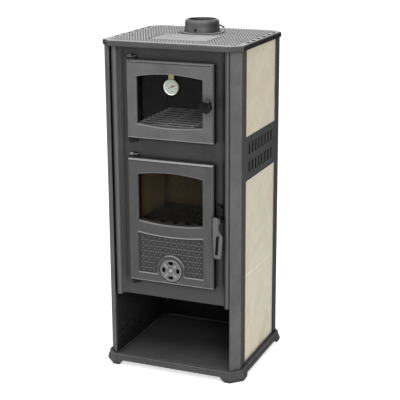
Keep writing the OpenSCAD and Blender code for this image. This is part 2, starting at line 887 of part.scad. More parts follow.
module brick_side(side) {
    color(brick_sand) on_side(side)
        block([shell_x - shell_th - brick_th, shell_x - shell_th], [plate_back + 4, shell_rear - shell_th - brick_th],
              [fire_floor_z, brick_top]);
}

module brick_rear() {
    color(brick_sand) block([-shell_x + shell_th, shell_x - shell_th],
                            [shell_rear - shell_th - brick_th, shell_rear - shell_th], [fire_floor_z, brick_top]);
}

// Cast guard with a battlement edge that keeps the logs off the glass.
module log_guard() {
    half = opening_half_w - 3;
    color(dark_grey) difference() {
        block([-half, half], [plate_back + 5, plate_back + 12], [fire_floor_z, fire_floor_z + guard_h]);
        for (u = row(5, guard_pitch))
            upright(plate_back, plate_back + 20) polygon([
                [u - 13, fire_floor_z + guard_h + cut], [u - 8, fire_floor_z + guard_h - 14],
                [u + 8, fire_floor_z + guard_h - 14], [u + 13, fire_floor_z + guard_h + cut]
            ]);
    }
}

module ash_pan() {
    front = plate_back + 12;
    low = fire_open[0];
    color(dark_grey) difference() {
        union() {
            block([-ash_w / 2, ash_w / 2], [front, front + ash_d], [low, low + ash_h]);
            block([-30, 30], [front - 7, front + cut], [low + ash_h - 14, low + ash_h - 11]);
        }
        block([-ash_w / 2 + 2, ash_w / 2 - 2], [front + 2, front + ash_d - 2], [low + 2, low + ash_h + cut]);
    }
}

// Heights of the four hinge lugs' lower faces.
lug_low = [
    fire_door_z - 1 - lug_h, fire_door_top + 1,
    oven_door_z - 1 - lug_h, oven_door_top + 1
];

module hinge_lugs() {
    color(cast_grey) for (z = lug_low)
        difference() {
            level(z, z + lug_h) {
                translate([hinge_x, hinge_y]) circle(pin_r + 5);
                polygon([
                    [hinge_x + 2, hinge_y - pin_r - 4.5], [hinge_x + lug_l, plate_y - 6], [hinge_x + lug_l, plate_y],
                    [hinge_x, plate_y], [hinge_x - pin_r - 3, hinge_y + 5]
                ]);
            }
            translate([hinge_x, hinge_y, z - cut]) cylinder(r = pin_r + fit, h = lug_h + 2 * cut);
        }
}

module hinge_pins() {
    color(steel_grey) for (i = [0:3])
        translate([hinge_x, hinge_y, lug_low[i]]) {
            up = i % 2 == 0;
            translate([0, 0, up ? 0 : -1 - pin_reach + 1]) cylinder(r = pin_r, h = lug_h + pin_reach);
            translate([0, 0, up ? -2.5 : lug_h]) cylinder(r = pin_r + 2, h = 2.5);
        }
}

// A door's block: rounded about the hinge axis at its left edge, bevelled round its face.
module door_block(z, face) {
    b = door_bevel;
    d = hinge_edge_r;
    intersection() {
        level(z[0], z[1]) {
            translate([hinge_x, hinge_y]) circle(d);
            polygon([
                [hinge_x, door_back], [door_half, door_back], [door_half, face + b], [door_half - b, face],
                [hinge_x - 0.6 * d, face], [hinge_x - d * cos(16), hinge_y - d * sin(16)]
            ]);
        }
        sideways(-door_half - cut, door_half + cut) polygon([
            [door_back + cut, z[0]], [door_back + cut, z[1]], [face + b, z[1]], [face, z[1] - b],
            [face, z[0] + b], [face + b, z[0]]
        ]);
        upright(face - cut, door_back + cut) round_plane([-door_half, door_half], z, 4);
    }
}

// The hollow behind a door's face, without the frame round the window.
module door_hollow(z, window) {
    difference() {
        plane([hinge_x + hinge_bar, door_half - door_wall], [z[0] + door_wall, z[1] - door_wall]);
        window_outline(window, flange_t);
        children();
    }
}

module door_casting(z, face, window) {
    difference() {
        union() {
            difference() {
                door_block(z, face);
                upright(face + door_wall, door_back + cut) door_hollow(z, window) children();
            }
            upright(face + door_wall, liner_back) window_outline(window, flange_t);
        }
        upright(face - cut, liner_back + cut) window_outline(window);
        upright(face - cut, face + 2.5) window_outline(window, 2);
        for (e = [z[0] - cut, z[1] - pin_reach - 0.5])
            translate([hinge_x, hinge_y, e]) cylinder(r = pin_r + fit, h = pin_reach + 0.5 + cut);
    }
}

module oven_door() {
    color(cast_grey) difference() {
        door_casting([oven_door_z, oven_door_top], oven_face, oven_win)
            translate([knob_x, knob_axis_z]) circle(knob_shaft_r + 6);
        bar_y(knob_shaft_r + fit, knob_x, knob_axis_z, oven_face - cut, door_back + cut);
    }
}

// Sheet that closes a door's back round its window frame.
module door_liner(z, window) {
    upright(door_back, liner_back) difference() {
        plane([-liner_half + 6, liner_half], [z[0] + liner_edge, z[1] - liner_edge]);
        window_outline(window, flange_t + 0.1);
        children();
    }
}

module oven_door_liner() {
    color(dark_grey) door_liner([oven_in_low, oven_in_high], oven_win)
        translate([knob_x, knob_axis_z]) circle(knob_shaft_r + 1);
}

module glass_pane(window) {
    half = window_half_w + glass_lap;
    color(glass_tint) upright(liner_back, glass_back)
        plane([-half, half], [window[0] - arch_low - glass_lap, window[1] + arch_high + glass_lap]);
}

// Four sprung clips that hold a pane against its door.
module glass_clips(window) {
    half = window_half_w + glass_lap;
    color(steel_grey) for (side = [-1, 1])
        for (z = [window[0] + 25, window[1] - 25])
            on_side(side) {
                block([half - 6, half + 2], [glass_back, glass_back + 1.2], [z - 8, z + 8]);
                block([half + 0.5, half + 2], [liner_back, glass_back + 1], [z - 8, z + 8]);
                block([half + 0.5, half + 9], [liner_back, liner_back + 1.2], [z - 8, z + 8]);
            }
}

// Cup, bezel and hanger of the thermometer.
module thermometer_case() {
    top = oven_win[1] + arch_high - 0.4;
    color(steel_grey) {
        translate([0, case_back, dial_z]) rotate([90, 0, 0]) rotate_extrude() difference() {
            polygon([
                [0, 0], [dial_r - 0.8, 0], [dial_r, 0.8], [dial_r, 5.6], [dial_r - 1, 6.8], [dial_r - 2.4, 7], [0, 7]
            ]);
            plane([-cut, dial_r - 2.5], [1.2, 6]);
            plane([-cut, dial_r - 3.6], [5.5, 7 + cut]);
        }
        difference() {
            union() {
                block([-hanger_w / 2, hanger_w / 2], [case_front + 2, case_front + 3.5],
                      [dial_z + dial_r - 4, top]);
                block([-hanger_w / 2, hanger_w / 2], [case_front + 2, case_back], [top - 1.5, top]);
            }
            bar_y(dial_r - 0.5, 0, dial_z, case_front - cut, case_back + cut);
        }
    }
}

module thermometer_dial() {
    color([0.86, 0.89, 0.86]) {
        bar_y(dial_r - 2.6, 0, dial_z, case_back - 2.4, case_back - 1.2);
        bar_y(0.8, 0, dial_z, case_back - 4.6, case_back - 2);
    }
}

module thermometer_lens() {
    color([0.9, 0.95, 0.95, 0.3]) bar_y(dial_r - 2.6, 0, dial_z, case_back - 6, case_back - 5.2);
}

// Balanced pointer with a broad head, at its place in the picture.
module thermometer_needle() {
    reach = dial_r - 11.5;
    color([0.70, 0.08, 0.10]) translate([0, 0, dial_z]) rotate([0, -24, 0]) upright(case_back - 4.4, case_back - 3.6)
        difference() {
            union() {
                circle(2);
                polygon([[-reach, 0.3], [-reach, -0.3], [0, -0.8], [2, -1.9], [reach - 3, -1.6], [reach, 0],
                         [reach - 3, 1.6], [2, 1.9], [0, 0.8]]);
            }
            circle(0.8 + fit, $fn = 24);
        }
}

// Star knob with six lobes and a domed face.
module oven_knob() {
    lobe_r = knob_r * 0.38;
    dome_r = 60;
    color([0.05, 0.05, 0.05]) translate([knob_x, 0, knob_axis_z]) {
        intersection() {
            upright(knob_face, knob_back) {
                circle(knob_r * 0.84);
                for (i = [0:5])
                    rotate(60 * i + 50) translate([knob_r - lobe_r, 0]) circle(lobe_r);
            }
            translate([0, knob_face + dome_r, 0]) sphere(dome_r);
        }
        bar_y(knob_shaft_r + 6, 0, 0, knob_back - cut, oven_face - clear);
    }
    color(steel_grey) bar_y(knob_shaft_r, knob_x, knob_axis_z, oven_face - 2, cam_back);
}

// Turning latch behind the oven door: its nose points down at rest and swings out behind the front plate.
module oven_latch() {
    color(steel_grey) upright(cam_front, cam_back - 0.5) translate([knob_x, knob_axis_z]) difference() {
        union() {
            circle(knob_shaft_r + 3);
            plane([-4, 4], [-14, 0]);
        }
        circle(knob_shaft_r + fit);
    }
}

// Outline of the ornament panel, smaller by shrink all round, with its hollow upper edge.
module panel_outline(shrink = 0) {
    r = arch_r(panel_half_w, panel_sag);
    difference() {
        plane([-panel_half_w + shrink, panel_half_w - shrink],
              [fire_door_z + panel_low + shrink, fire_door_z + panel_high - shrink / 2]);
        translate([0, fire_door_z + panel_high - panel_sag + r]) circle(r + shrink, $fn = arch_fn);
    }
}

// The raised line: round the panel and in an arch over the air disc.
module rim_outline() {
    difference() {
        panel_outline(-rim_w / 2);
        panel_outline(rim_w / 2);
        translate([0, disc_axis_z]) circle(arch_ring_r + rim_w);
    }
    intersection() {
        translate([0, disc_axis_z]) difference() {
            circle(arch_ring_r + rim_w);
            circle(arch_ring_r);
        }
        plane([-panel_half_w, panel_half_w], [fire_door_z + panel_low, disc_axis_z + 2 * arch_ring_r]);
    }
}

// The four air ports round the disc's axis, drawn in X and Z.
module port_outline() {
    translate([0, disc_axis_z])
        for (i = [0:3])
            rotate(90 * i) translate([0, port_at]) oval(port_l, port_w);
}

module fire_door() {
    z = [fire_door_z, fire_door_top];
    color(cast_grey) difference() {
        union() {
            difference() {
                door_casting(z, fire_face, fire_win)
                    translate([0, disc_axis_z]) circle(disc_screw_r + 6);
                upright(fire_face - cut, fire_face + panel_sink) difference() {
                    panel_outline();
                    translate([0, disc_axis_z]) circle(arch_ring_r + rim_w / 2);
                }
                upright(fire_face - cut, fire_face + disc_sink) translate([0, disc_axis_z]) circle(disc_r + 4);
            }
            upright(fire_face - rim_h, fire_face + panel_sink + 0.5) rim_outline();
            upright(ear_front, ear_back) {
                translate([handle_x, handle_pivot_z]) circle(ear_r);
                plane([door_half - 3, handle_x], [handle_pivot_z - ear_r, handle_pivot_z + ear_r]);
            }
        }
        upright(fire_face - cut, fire_face + door_wall + cut) port_outline();
        bar_y(disc_screw_r + fit, 0, disc_axis_z, fire_face - cut, fire_face + 18);
        bar_y(handle_shaft_r + fit, handle_x, handle_pivot_z, ear_front - cut, ear_back + cut);
    }
}

module fire_door_liner() {
    color(dark_grey) door_liner(fire_open, fire_win)
        round_plane([-45, 45], [disc_axis_z - 20, disc_axis_z + 20], 5);
}

// Air disc: four ports, four raised finger ribs between them and a bevelled edge.
module air_disc() {
    color([0.45, 0.45, 0.46]) difference() {
        union() {
            translate([0, disc_back, disc_axis_z]) rotate([90, 0, 0]) rotate_extrude() polygon([
                [0, 0], [disc_r, 0], [disc_r, disc_th * 0.5], [disc_r - 2, disc_th * 0.9], [disc_r - 5, disc_th],
                [14, disc_th], [11, disc_th - 1.5], [0, disc_th - 1.5]
            ]);
            translate([0, 0, disc_axis_z])
                for (i = [0:3])
                    rotate([0, 45 + 90 * i, 0]) upright(disc_face - 2.5, disc_face + 1)
                        translate([disc_r * 0.58, 0]) oval(disc_r * 0.45, 4.5);
        }
        upright(disc_face - cut, disc_back + cut) port_outline();
        bar_y(disc_screw_r + fit, 0, disc_axis_z, disc_face - cut, disc_back + cut);
    }
}

module air_disc_screw() {
    seat = disc_face + 1.5 - 0.2;
    color(steel_grey) difference() {
        union() {
            bar_y(disc_screw_r, 0, disc_axis_z, seat - 1, fire_face + 17);
            translate([0, seat, disc_axis_z]) rotate([90, 0, 0]) rotate_extrude()
                polygon([[0, 0], [6, 0], [6, 1.2], [4.5, 2.6], [0, 3.2]]);
        }
        block([-0.7, 0.7], [seat - 4, seat - 2], [disc_axis_z - 5, disc_axis_z + 5]);
    }
}

// Round spots of the handle's outline: place beside and above the pivot, and radius,
// for a handle of full length.
module handle_spots(spots) {
    k = handle_l / 121;
    for (p = spots)
        translate([handle_x + p[0] * k, handle_pivot_z + p[1] * k]) circle(p[2] * k, $fn = 32);
}

// Cast lever handle: a square tab on the pivot and a loop with a finger slot below it.
module fire_handle() {
    color([0.42, 0.42, 0.43]) {
        upright(handle_face, handle_back) difference() {
            union() {
                hull() handle_spots([[-9, 16, 2], [-1.5, 8, 10], [-9, -28, 2], [6.5, -28, 2]]);
                hull() handle_spots([
                    [-9, -30, 2], [6.5, -28, 2], [13.5, -48, 9], [11.5, -115, 6], [-2, -115, 6], [-8, -70, 3]
                ]);
            }
            hull() handle_spots([[7.5, -44, 2.5], [3, -50, 2.5], [-0.5, -107, 2.5], [4, -107, 2.5]]);
        }
        bar_y(handle_shaft_r + 5, handle_x, handle_pivot_z, handle_back - 0.5, ear_front - clear);
        bar_y(handle_shaft_r, handle_x, handle_pivot_z, handle_back - 0.5, latch_back + 2);
    }
}

// Latch on the handle's shaft: an upright arm whose tip slips behind the keeper.
module fire_latch() {
    color([0.06, 0.06, 0.06]) upright(latch_front, latch_back) translate([handle_x, handle_pivot_z]) difference() {
        union() {
            circle(handle_shaft_r + 3);
            polygon([
                [latch_reach + 1, -2], [latch_reach, latch_l - 4], [latch_reach - 2, latch_l],
                [-1, latch_l], [-3.5, latch_l - 6], [-latch_reach - 1, -2]
            ]);
        }
        circle(handle_shaft_r + fit);
    }
}

// Keeper on the front plate: an arm above the latch carries a tongue that the latch's tip slips behind.
module fire_keeper() {
    front = latch_front - 0.5 - keeper_th;
    base = bead_x - bead_r - cove_r;
    color([0.06, 0.06, 0.06]) {
        block([base - keeper_w, base - 0.1], [plate_y - 10, plate_y], [keeper_z, keeper_z + keeper_h]);
        block([base - 2, keeper_x + keeper_tongue], [front, plate_y - 6.5],
              [keeper_z, keeper_z + keeper_arm_h]);
        block([keeper_x, keeper_x + keeper_tongue], [front, front + keeper_th],
              [keeper_z - keeper_drop, keeper_z + 1]);
    }
}

plinth();
top_plate();
flue_collar();
damper_plate();
damper_lever();
post(-1, -1);  // post_front_left
post(1, -1);  // post_front_right
post(-1, 1);  // post_rear_left
post(1, 1);  // post_rear_right
front_plate();
side_tile_lower(-1);  // side_tile_lower_left
side_tile_lower(1);  // side_tile_lower_right
side_tile_middle(-1);  // side_tile_middle_left
side_tile_middle(1);  // side_tile_middle_right
side_tile_upper(-1);  // side_tile_upper_left
side_tile_upper(1);  // side_tile_upper_right
vent_panel(-1);  // vent_panel_left
vent_panel(1);  // vent_panel_right
side_lining(-1);  // side_lining_left
side_lining(1);  // side_lining_right
niche_ceiling();
rear_panel();
rear_screws();
body_shell();
oven_box();
oven_rack();
baffle_plate();
fire_floor();
fire_grate();
brick_side(-1);  // brick_left
brick_side(1);  // brick_right
brick_rear();
log_guard();
ash_pan();
door_seal([oven_in_low, oven_in_high]);  // oven_door_seal
door_seal(fire_open);  // fire_door_seal
hinge_lugs();
hinge_pins();
oven_door();
oven_door_liner();
glass_pane(oven_win);  // oven_glass
glass_clips(oven_win);  // oven_glass_clips
thermometer_case();
thermometer_dial();
thermometer_lens();
thermometer_needle();
oven_knob();
oven_latch();
fire_door();
fire_door_liner();
glass_pane(fire_win);  // fire_glass
glass_clips(fire_win);  // fire_glass_clips
air_disc();
air_disc_screw();
fire_handle();
fire_latch();
fire_keeper();
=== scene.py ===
import bmesh
import bpy
import numpy as np
from mathutils import Matrix, Vector


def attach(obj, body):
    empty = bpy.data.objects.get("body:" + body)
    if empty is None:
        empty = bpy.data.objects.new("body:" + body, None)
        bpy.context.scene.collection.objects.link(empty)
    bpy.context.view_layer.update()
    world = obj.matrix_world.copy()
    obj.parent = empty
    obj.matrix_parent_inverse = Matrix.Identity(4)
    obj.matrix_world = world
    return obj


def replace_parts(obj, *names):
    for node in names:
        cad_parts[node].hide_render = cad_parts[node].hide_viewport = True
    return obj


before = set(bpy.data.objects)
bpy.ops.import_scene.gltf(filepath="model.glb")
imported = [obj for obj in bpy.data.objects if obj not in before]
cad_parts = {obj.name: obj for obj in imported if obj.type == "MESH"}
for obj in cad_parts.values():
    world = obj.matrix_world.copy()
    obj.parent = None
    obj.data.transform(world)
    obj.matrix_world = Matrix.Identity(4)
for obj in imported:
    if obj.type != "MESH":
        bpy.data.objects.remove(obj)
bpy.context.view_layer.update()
mm = 0.001
noiseRun = (0.3, 0.7)  # the part of a noise texture's range that it really fills
print("stage 1: frame loaded,", len(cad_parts), "solids")


def linearColour(hexText):
    # sRGB hex to linear light: divide by 12.92 in the toe, else the 2.4 power curve
    parts = [int(hexText[i:i + 2], 16) / 255 for i in (1, 3, 5)]
    light = [c / 12.92 if c <= 0.04045 else ((c + 0.055) / 1.055) ** 2.4 for c in parts]
    return (*light, 1.0)


def addNode(tree, kind, links=(), out=0, **settings):
    # one node, handed back as one of its outputs: links are its inputs in order or by name, each another node's
    # output, a number or a hex colour, and settings are its properties
    node = tree.nodes.new("ShaderNode" + kind)
    for name, value in settings.items():
        setattr(node, name, value)
    for name, value in (links if isinstance(links, dict) else dict(enumerate(links))).items():
        if isinstance(value, bpy.types.NodeSocket):
            tree.links.new(value, node.inputs[name])
        else:
            node.inputs[name].default_value = linearColour(value) if isinstance(value, str) else value
    return node.outputs[out] if node.outputs else None


def newMaterial(name):
    # an empty node tree, and the place on the piece in mm, which its patterns read
    material = bpy.data.materials.new(name)
    material.use_nodes = True
    tree = material.node_tree
    tree.nodes.clear()
    coords = addNode(tree, "TexCoord", out="Object")
    return material, tree, addNode(tree, "VectorMath", {0: coords, "Scale": 1 / mm}, operation="SCALE")


def partOf(tree, place, key):
    # X, Y or Z of the place, or of the way the face looks; wide and aside count both sides of the middle alike
    if key in ("wide", "aside"):
        return addNode(tree, "Math", (partOf(tree, place, "X" if key == "wide" else "lookX"),), operation="ABSOLUTE")
    vector = addNode(tree, "NewGeometry", out="True Normal") if key.startswith("look") else place
    return addNode(tree, "SeparateXYZ", (vector,), key[-1])


def shareOf(tree, place, masks):
    # the product of masks. A mask is a number or an output; or a tuple of its source, the two ends of its rise and,
    # if they aren't zero and one, what it rises from and to; or a list, for the places outside all of its masks.
    # A source is an output, a key that partOf knows, or a direction, along which the place is measured.
    share = None
    for mask in masks:
        if isinstance(mask, list):
            mask = (shareOf(tree, place, mask), 1, 0)
        if isinstance(mask, tuple):
            source, *ends = mask
            if isinstance(source, str):
                source = partOf(tree, place, source)
            elif isinstance(source, tuple):
                source = addNode(tree, "VectorMath", (place, source), "Value", operation="DOT_PRODUCT")
            mask = addNode(tree, "MapRange", (source, *ends))
        share = mask if share is None else addNode(tree, "Math", (share, mask), operation="MULTIPLY")
    return share


def layOver(tree, place, colour, layers):
    # colours laid one over another: each layer is a colour and the masks that limit it
    for shade, *masks in layers:
        share = shareOf(tree, place, masks)
        colour = addNode(tree, "Mix", {0: share, 6: colour, 7: shade}, 2, data_type="RGBA")
    return colour


def band(source, middle, half, soft=0.05):
    # the masks of a strip: a crisp rise at its low edge and a crisp fall at its high one
    return [(source, middle + end * (half + soft), middle + end * (half - soft)) for end in (-1, 1)]


def roundedEdges(tree, radius):
    # the normal that rounded edges would have, and a mask that rises as it leans off the true one by 11 to 41 degrees
    rounded = addNode(tree, "Bevel", {"Radius": radius * mm}, samples=4)
    true = addNode(tree, "NewGeometry", out="True Normal")
    lean = addNode(tree, "VectorMath", (rounded, true), "Value", operation="DOT_PRODUCT")
    return rounded, (lean, 0.98, 0.75)


def shadeCorners(tree, colour, reach, darkest):
    # the colour as it is where the surroundings are nine tenths open, and down to its darkest share where surfaces
    # within reach leave a quarter
    around = addNode(tree, "AmbientOcclusion", {"Distance": reach * mm}, "AO", samples=8)
    shade = addNode(tree, "MapRange", (around, 0.25, 0.92, darkest, 1.0))
    return addNode(tree, "Mix", {0: 1.0, 6: colour, 7: shade}, 2, data_type="RGBA", blend_type="MULTIPLY")


# Silicone heat paint on sand-cast iron: satin, with the casting's grain under it, lighter along its edges, which are
# rubbed and carry a painted highlight, and darker in its corners with painted shade. The sand's grain is under 1 mm,
# too fine to show, so it is drawn at 2.8 mm.
paintLook = {"grain": 2.8, "cloud": 80, "sandShare": 0.7, "cloudShare": 0.5, "spread": 0.18, "glossSpread": 0.08,
             "bump": 0.5, "bumpHeight": 0.18, "edge": 2.4, "upRun": (0.9, 0.99), "steep": 0.45, "asideRun": (0.5, 0.9),
             "shade": 0.22, "deepRun": (3.0, 6.5), "deepShade": "#141414"}


def heatPaint(name, base, light, edgeWearAndPaintedLight, roughness=0.46, metallic=0.1, grain=1.0, specular=0.3, top=None, side=None,
              sideRun=(0.86, 0.96), deep=None, depths=(), edgeWearAndPaintedLightShare=0.8, corner=28, marks=()):
    # base and light: the two ends of its mottle; the edge colour and its share: rubbed edges with a painted highlight
    # (on the screw, painted shade), less where they stand upright; top and side: painted light on the faces that look
    # up and painted shade on those that look sideways; deep: the Y behind which faces that look sideways get painted
    # shade, nearly black; depths: colours that come in from one Y to another; marks: the piece's own layers
    look = paintLook
    material, tree, place = newMaterial(name)
    cloud = addNode(tree, "TexNoise", {"Vector": place, "Scale": 1 / look["cloud"], "Detail": 3.0, "Roughness": 0.55})
    sand = addNode(tree, "TexNoise", {"Vector": place, "Scale": 1 / look["grain"], "Detail": 2.0, "Roughness": 0.75})
    faint = addNode(tree, "Math", (cloud, look["cloudShare"]), operation="MULTIPLY")
    mottle = addNode(tree, "Math", (sand, look["sandShare"] * grain, faint), operation="MULTIPLY_ADD")
    middle, spread = (look["cloudShare"] + look["sandShare"] * grain) / 2, look["spread"]

    def tone(dark, pale):
        return layOver(tree, place, dark, [(pale, (mottle, middle - spread, middle + spread))])

    layers = [(shade, ("Y", start, end)) for start, end, shade in depths]
    # painted shade on the faces that look sideways, and painted light on those that look up
    if side:
        layers.append((tone(*side), ("aside", *sideRun)))
    if top:
        layers.append((tone(*top), ("lookZ", *look["upRun"])))
    rounded, edge = roundedEdges(tree, look["edge"])
    # the edges' colour: wear with a painted highlight, strongest where the rounded edge faces up or down
    upOrDown = addNode(tree, "Math", (addNode(tree, "SeparateXYZ", (rounded,), "Z"),), operation="ABSOLUTE")
    layers.append((edgeWearAndPaintedLight, edge, (upOrDown, 0.0, look["steep"], edgeWearAndPaintedLightShare / 3, edgeWearAndPaintedLightShare)))
    layers += marks(tree, place) if callable(marks) else marks
    # painted shade, nearly black, on the sideways faces behind the door's front
    if deep is not None:
        near, far = look["deepRun"]
        layers.append((look["deepShade"], ("Y", deep + near, deep + far), ("aside", *look["asideRun"])))
    colour = layOver(tree, place, tone(base, light), layers)
    dull, bright = roughness + look["glossSpread"], roughness - look["glossSpread"]
    shader = addNode(tree, "BsdfPrincipled", {
        "Base Color": shadeCorners(tree, colour, corner, look["shade"]), "Metallic": metallic,
        "Specular IOR Level": specular, "Roughness": addNode(tree, "MapRange", (sand, *noiseRun, dull, bright)),
        "Normal": addNode(tree, "Bump", {"Strength": look["bump"] * grain, "Distance": look["bumpHeight"] * mm,
                                         "Height": sand, "Normal": rounded})})
    addNode(tree, "OutputMaterial", (shader,))
    return material


# Glazed stoneware tile: a beige glaze with faint clouds and veins, crackle, edges made lighter by thin glaze and a
# painted highlight, and painted highlights along two of its joints. The photograph is too coarse to tell the
# crackle's size, so its cells of 16 mm are a guess, as coarse as they need to be to show.
tileLook = {"cloud": 130, "vein": 240, "crackle": 16, "ripple": 22, "edge": 4.0, "ground": "#bba37e",
            "clouds": ((0.30, 0.43, "#b3aa89"), (0.43, 0.52, "#beb295"), (0.52, 0.60, "#b8aa84"),
                       (0.60, 0.72, "#a99b75")),
            "veins": ("#c3a983", 0.82, 1.5, 0.0, 0.35), "cracks": ("#8f8369", 0.0, 0.03, 0.10, 0.0),
            "rim": ("#efeadc", 0.8), "lips": ((681.2, 1.9, "#fffdf6"), (355.0, 2.6, "#f4efe2")),
            "roughness": 0.38, "coat": 0.35, "coatRoughness": 0.12, "bump": 0.25, "bumpHeight": 0.2}


def glazedTile(name):
    look = tileLook
    material, tree, place = newMaterial(name)
    cloud = addNode(tree, "TexNoise", {"Vector": place, "Scale": 1 / look["cloud"], "Detail": 5.0, "Roughness": 0.6,
                                       "Distortion": 0.6})
    vein = addNode(tree, "TexNoise", {"Vector": place, "Scale": 1 / look["vein"], "Detail": 4.0, "Roughness": 0.5,
                                      "Distortion": 1.4}, noise_type="RIDGED_MULTIFRACTAL")
    cell = addNode(tree, "TexVoronoi", {"Vector": place, "Scale": 1 / look["crackle"]}, "Distance",
                   feature="DISTANCE_TO_EDGE")
    ripple = addNode(tree, "TexNoise", {"Vector": place, "Scale": 1 / look["ripple"], "Detail": 2.0})
    rounded, edge = roundedEdges(tree, look["edge"])
    layers = [(shade, (cloud, low, high)) for low, high, shade in look["clouds"]]
    for source, key in ((vein, "veins"), (cell, "cracks")):
        shade, *run = look[key]
        layers.append((shade, (source, *run)))
    # the rim is thin glaze with a painted highlight, and the lips are painted highlights
    shade, share = look["rim"]
    layers.append((shade, edge, share))
    layers += [(shade, *band("Z", middle, half)) for middle, half, shade in look["lips"]]
    shader = addNode(tree, "BsdfPrincipled", {
        "Base Color": layOver(tree, place, look["ground"], layers), "Roughness": look["roughness"],
        "Coat Weight": look["coat"], "Coat Roughness": look["coatRoughness"],
        "Normal": addNode(tree, "Bump", {"Strength": look["bump"], "Distance": look["bumpHeight"] * mm,
                                         "Height": ripple, "Normal": rounded})})
    addNode(tree, "OutputMaterial", (shader,))
    return material


# Plain finishes of one noise: where it turns from dark to light, and how far it moves the roughness. Their real grain
# is too fine to show, so it is drawn coarser, at 3 to 12 mm.
speckLook = {"run": (0.32, 0.68), "duller": 1.15, "brighter": 0.85, "bump": 0.5, "shade": 0.2}


def speckled(name, dark, light, scale, roughness, metallic=0.0, bump=0.1, edge=None, corner=None, specular=0.5,
             marks=()):
    # a two-tone surface with noise in its colour, roughness and relief, sizes in mm; edge rounds its edges, and
    # corner is the reach of the painted shade in its corners
    look = speckLook
    material, tree, place = newMaterial(name)
    noise = addNode(tree, "TexNoise", {"Vector": place, "Scale": 1 / scale, "Detail": 3.0, "Roughness": 0.6})
    colour = layOver(tree, place, dark, [(light, (noise, *look["run"])), *marks])
    if corner:
        colour = shadeCorners(tree, colour, corner, look["shade"])
    dull, bright = min(1.0, roughness * look["duller"]), roughness * look["brighter"]
    relief = {"Strength": look["bump"], "Distance": bump * mm, "Height": noise}
    if edge:
        relief["Normal"] = roundedEdges(tree, edge)[0]
    shader = addNode(tree, "BsdfPrincipled", {
        "Base Color": colour, "Metallic": metallic, "Specular IOR Level": specular,
        "Roughness": addNode(tree, "MapRange", (noise, *noiseRun, dull, bright)),
        "Normal": addNode(tree, "Bump", relief)})
    addNode(tree, "OutputMaterial", (shader,))
    return material


# Clear panes: a faint haze from soot and wiping, which makes the gloss uneven.
paneLook = {"haze": 90, "smear": 0.06}


def clearPane(name, tint, share, through, roughness=0.03):
    # mostly see-through, with share of a glossy surface over it; through is what it does to what lies behind
    material, tree, place = newMaterial(name)
    haze = addNode(tree, "TexNoise", {"Vector": place, "Scale": 1 / paneLook["haze"], "Detail": 3.0})
    gloss = addNode(tree, "MapRange", (haze, 0.0, 1.0, roughness, roughness + paneLook["smear"]))
    shader = addNode(tree, "BsdfPrincipled", {"Base Color": tint, "Roughness": gloss})
    clear = addNode(tree, "BsdfTransparent", {"Color": through})
    addNode(tree, "OutputMaterial", (addNode(tree, "MixShader", (share, clear, shader)),))
    return material


# Diamond knurl cast into the top plate, one stud to a cell 10 mm wide and 21 mm deep, clear of the kettle pad and the
# flue's ring by border. The ground between them gets painted shade: it starts at margin from the pad and the ring,
# and ends at skirt outside the field. Layers: a stud's size at a height, as a part of the pitch, and that height.
knurlLook = {"pitchX": 10.04, "pitchY": 20.9, "layers": [(0.41, -0.3), (0.30, 1.0)], "halfX": 213, "halfY": 180,
             "top": 1130.0, "pad": (0.0, -68.65, 100.0, 68.35), "flue": (0.0, 75.0), "ring": 75.0, "border": 6.0,
             "margin": 2.8, "skirt": (3, 4), "faceRun": (-0.4, -0.3), "ground": "#626262"}

# The air slots along the top plate's two sides: painted shade over their cast lips and walls.
slotLook = {"across": 231.5, "back": 16.5, "pitch": 49.5, "count": 6, "halfX": 6.4, "halfY": 13.4, "colour": "#080808"}


def topMarks(tree, place):
    # the knurl's ground in painted shade, and an oval of painted shade round each slot: (u / halfX)^2 + (v / halfY)^2
    # < 1, with u from the row's middle line and v from the nearest slot's middle
    look, slot = knurlLook, slotLook
    (px, py, hx, hy), (skirtX, skirtY), (x, y), top = look["pad"], look["skirt"], look["flue"], look["top"]
    margin, run = look["margin"], slot["count"] * slot["pitch"] / 2
    fromFlue = addNode(tree, "VectorMath", (place, (x, y, top)), "Value", operation="DISTANCE")
    fromStart = addNode(tree, "Math", (partOf(tree, place, "Y"), run - slot["back"]), operation="ADD")
    inPitch = addNode(tree, "Math", (fromStart, slot["pitch"]), operation="FLOORED_MODULO")
    oval = []
    for value, middle, half in ((partOf(tree, place, "wide"), slot["across"], slot["halfX"]),
                                (inPitch, slot["pitch"] / 2, slot["halfY"])):
        oval.append(addNode(tree, "MapRange", (value, middle, middle + half), clamp=False))
    reach = addNode(tree, "VectorMath", (addNode(tree, "CombineXYZ", oval),), "Value", operation="LENGTH")
    return [(look["ground"], *band("X", 0, look["halfX"] + skirtX), *band("Y", 0, look["halfY"] + skirtY),
             [*band("X", px, hx + margin), *band("Y", py, hy + margin)], [*band(fromFlue, 0, look["ring"] + margin)],
             ("Z", *(top + rise for rise in look["faceRun"]))),
            (slot["colour"], *band(reach, 0, 1, 0.01), *band("Y", slot["back"], run))]


# A door's bevels: the ones that look up and right are painted as lit, with a line of painted shade under the upper
# one and a painted highlight along the lower one, and painted shade below that. The raised lines round the fire door's
# ornament field get painted shade, and a painted highlight where the place lies high along litAlong, and at the
# field's foot, but not on its uprights.
doorLook = {"bevel": 5.0, "leanRun": (0.45, 0.65), "right": "#4c4c4c", "creaseShade": ("#2e2e2e", 1.4),
            "line": ("#8a8a8a", 0.6, 1.3), "under": "#262626", "frontRun": (6.5, 6.0), "proudRun": (-0.1, -0.5),
            "shadedRaisedLine": "#3c3c3c", "litRaisedLine": "#969696", "litAlong": ((0.4, 0.0, 0.9), 363, 375),
            "foot": ("Z", 357, 355), "uprights": (*band("Z", 424, 67), ("wide", 111.95, 112.05))}


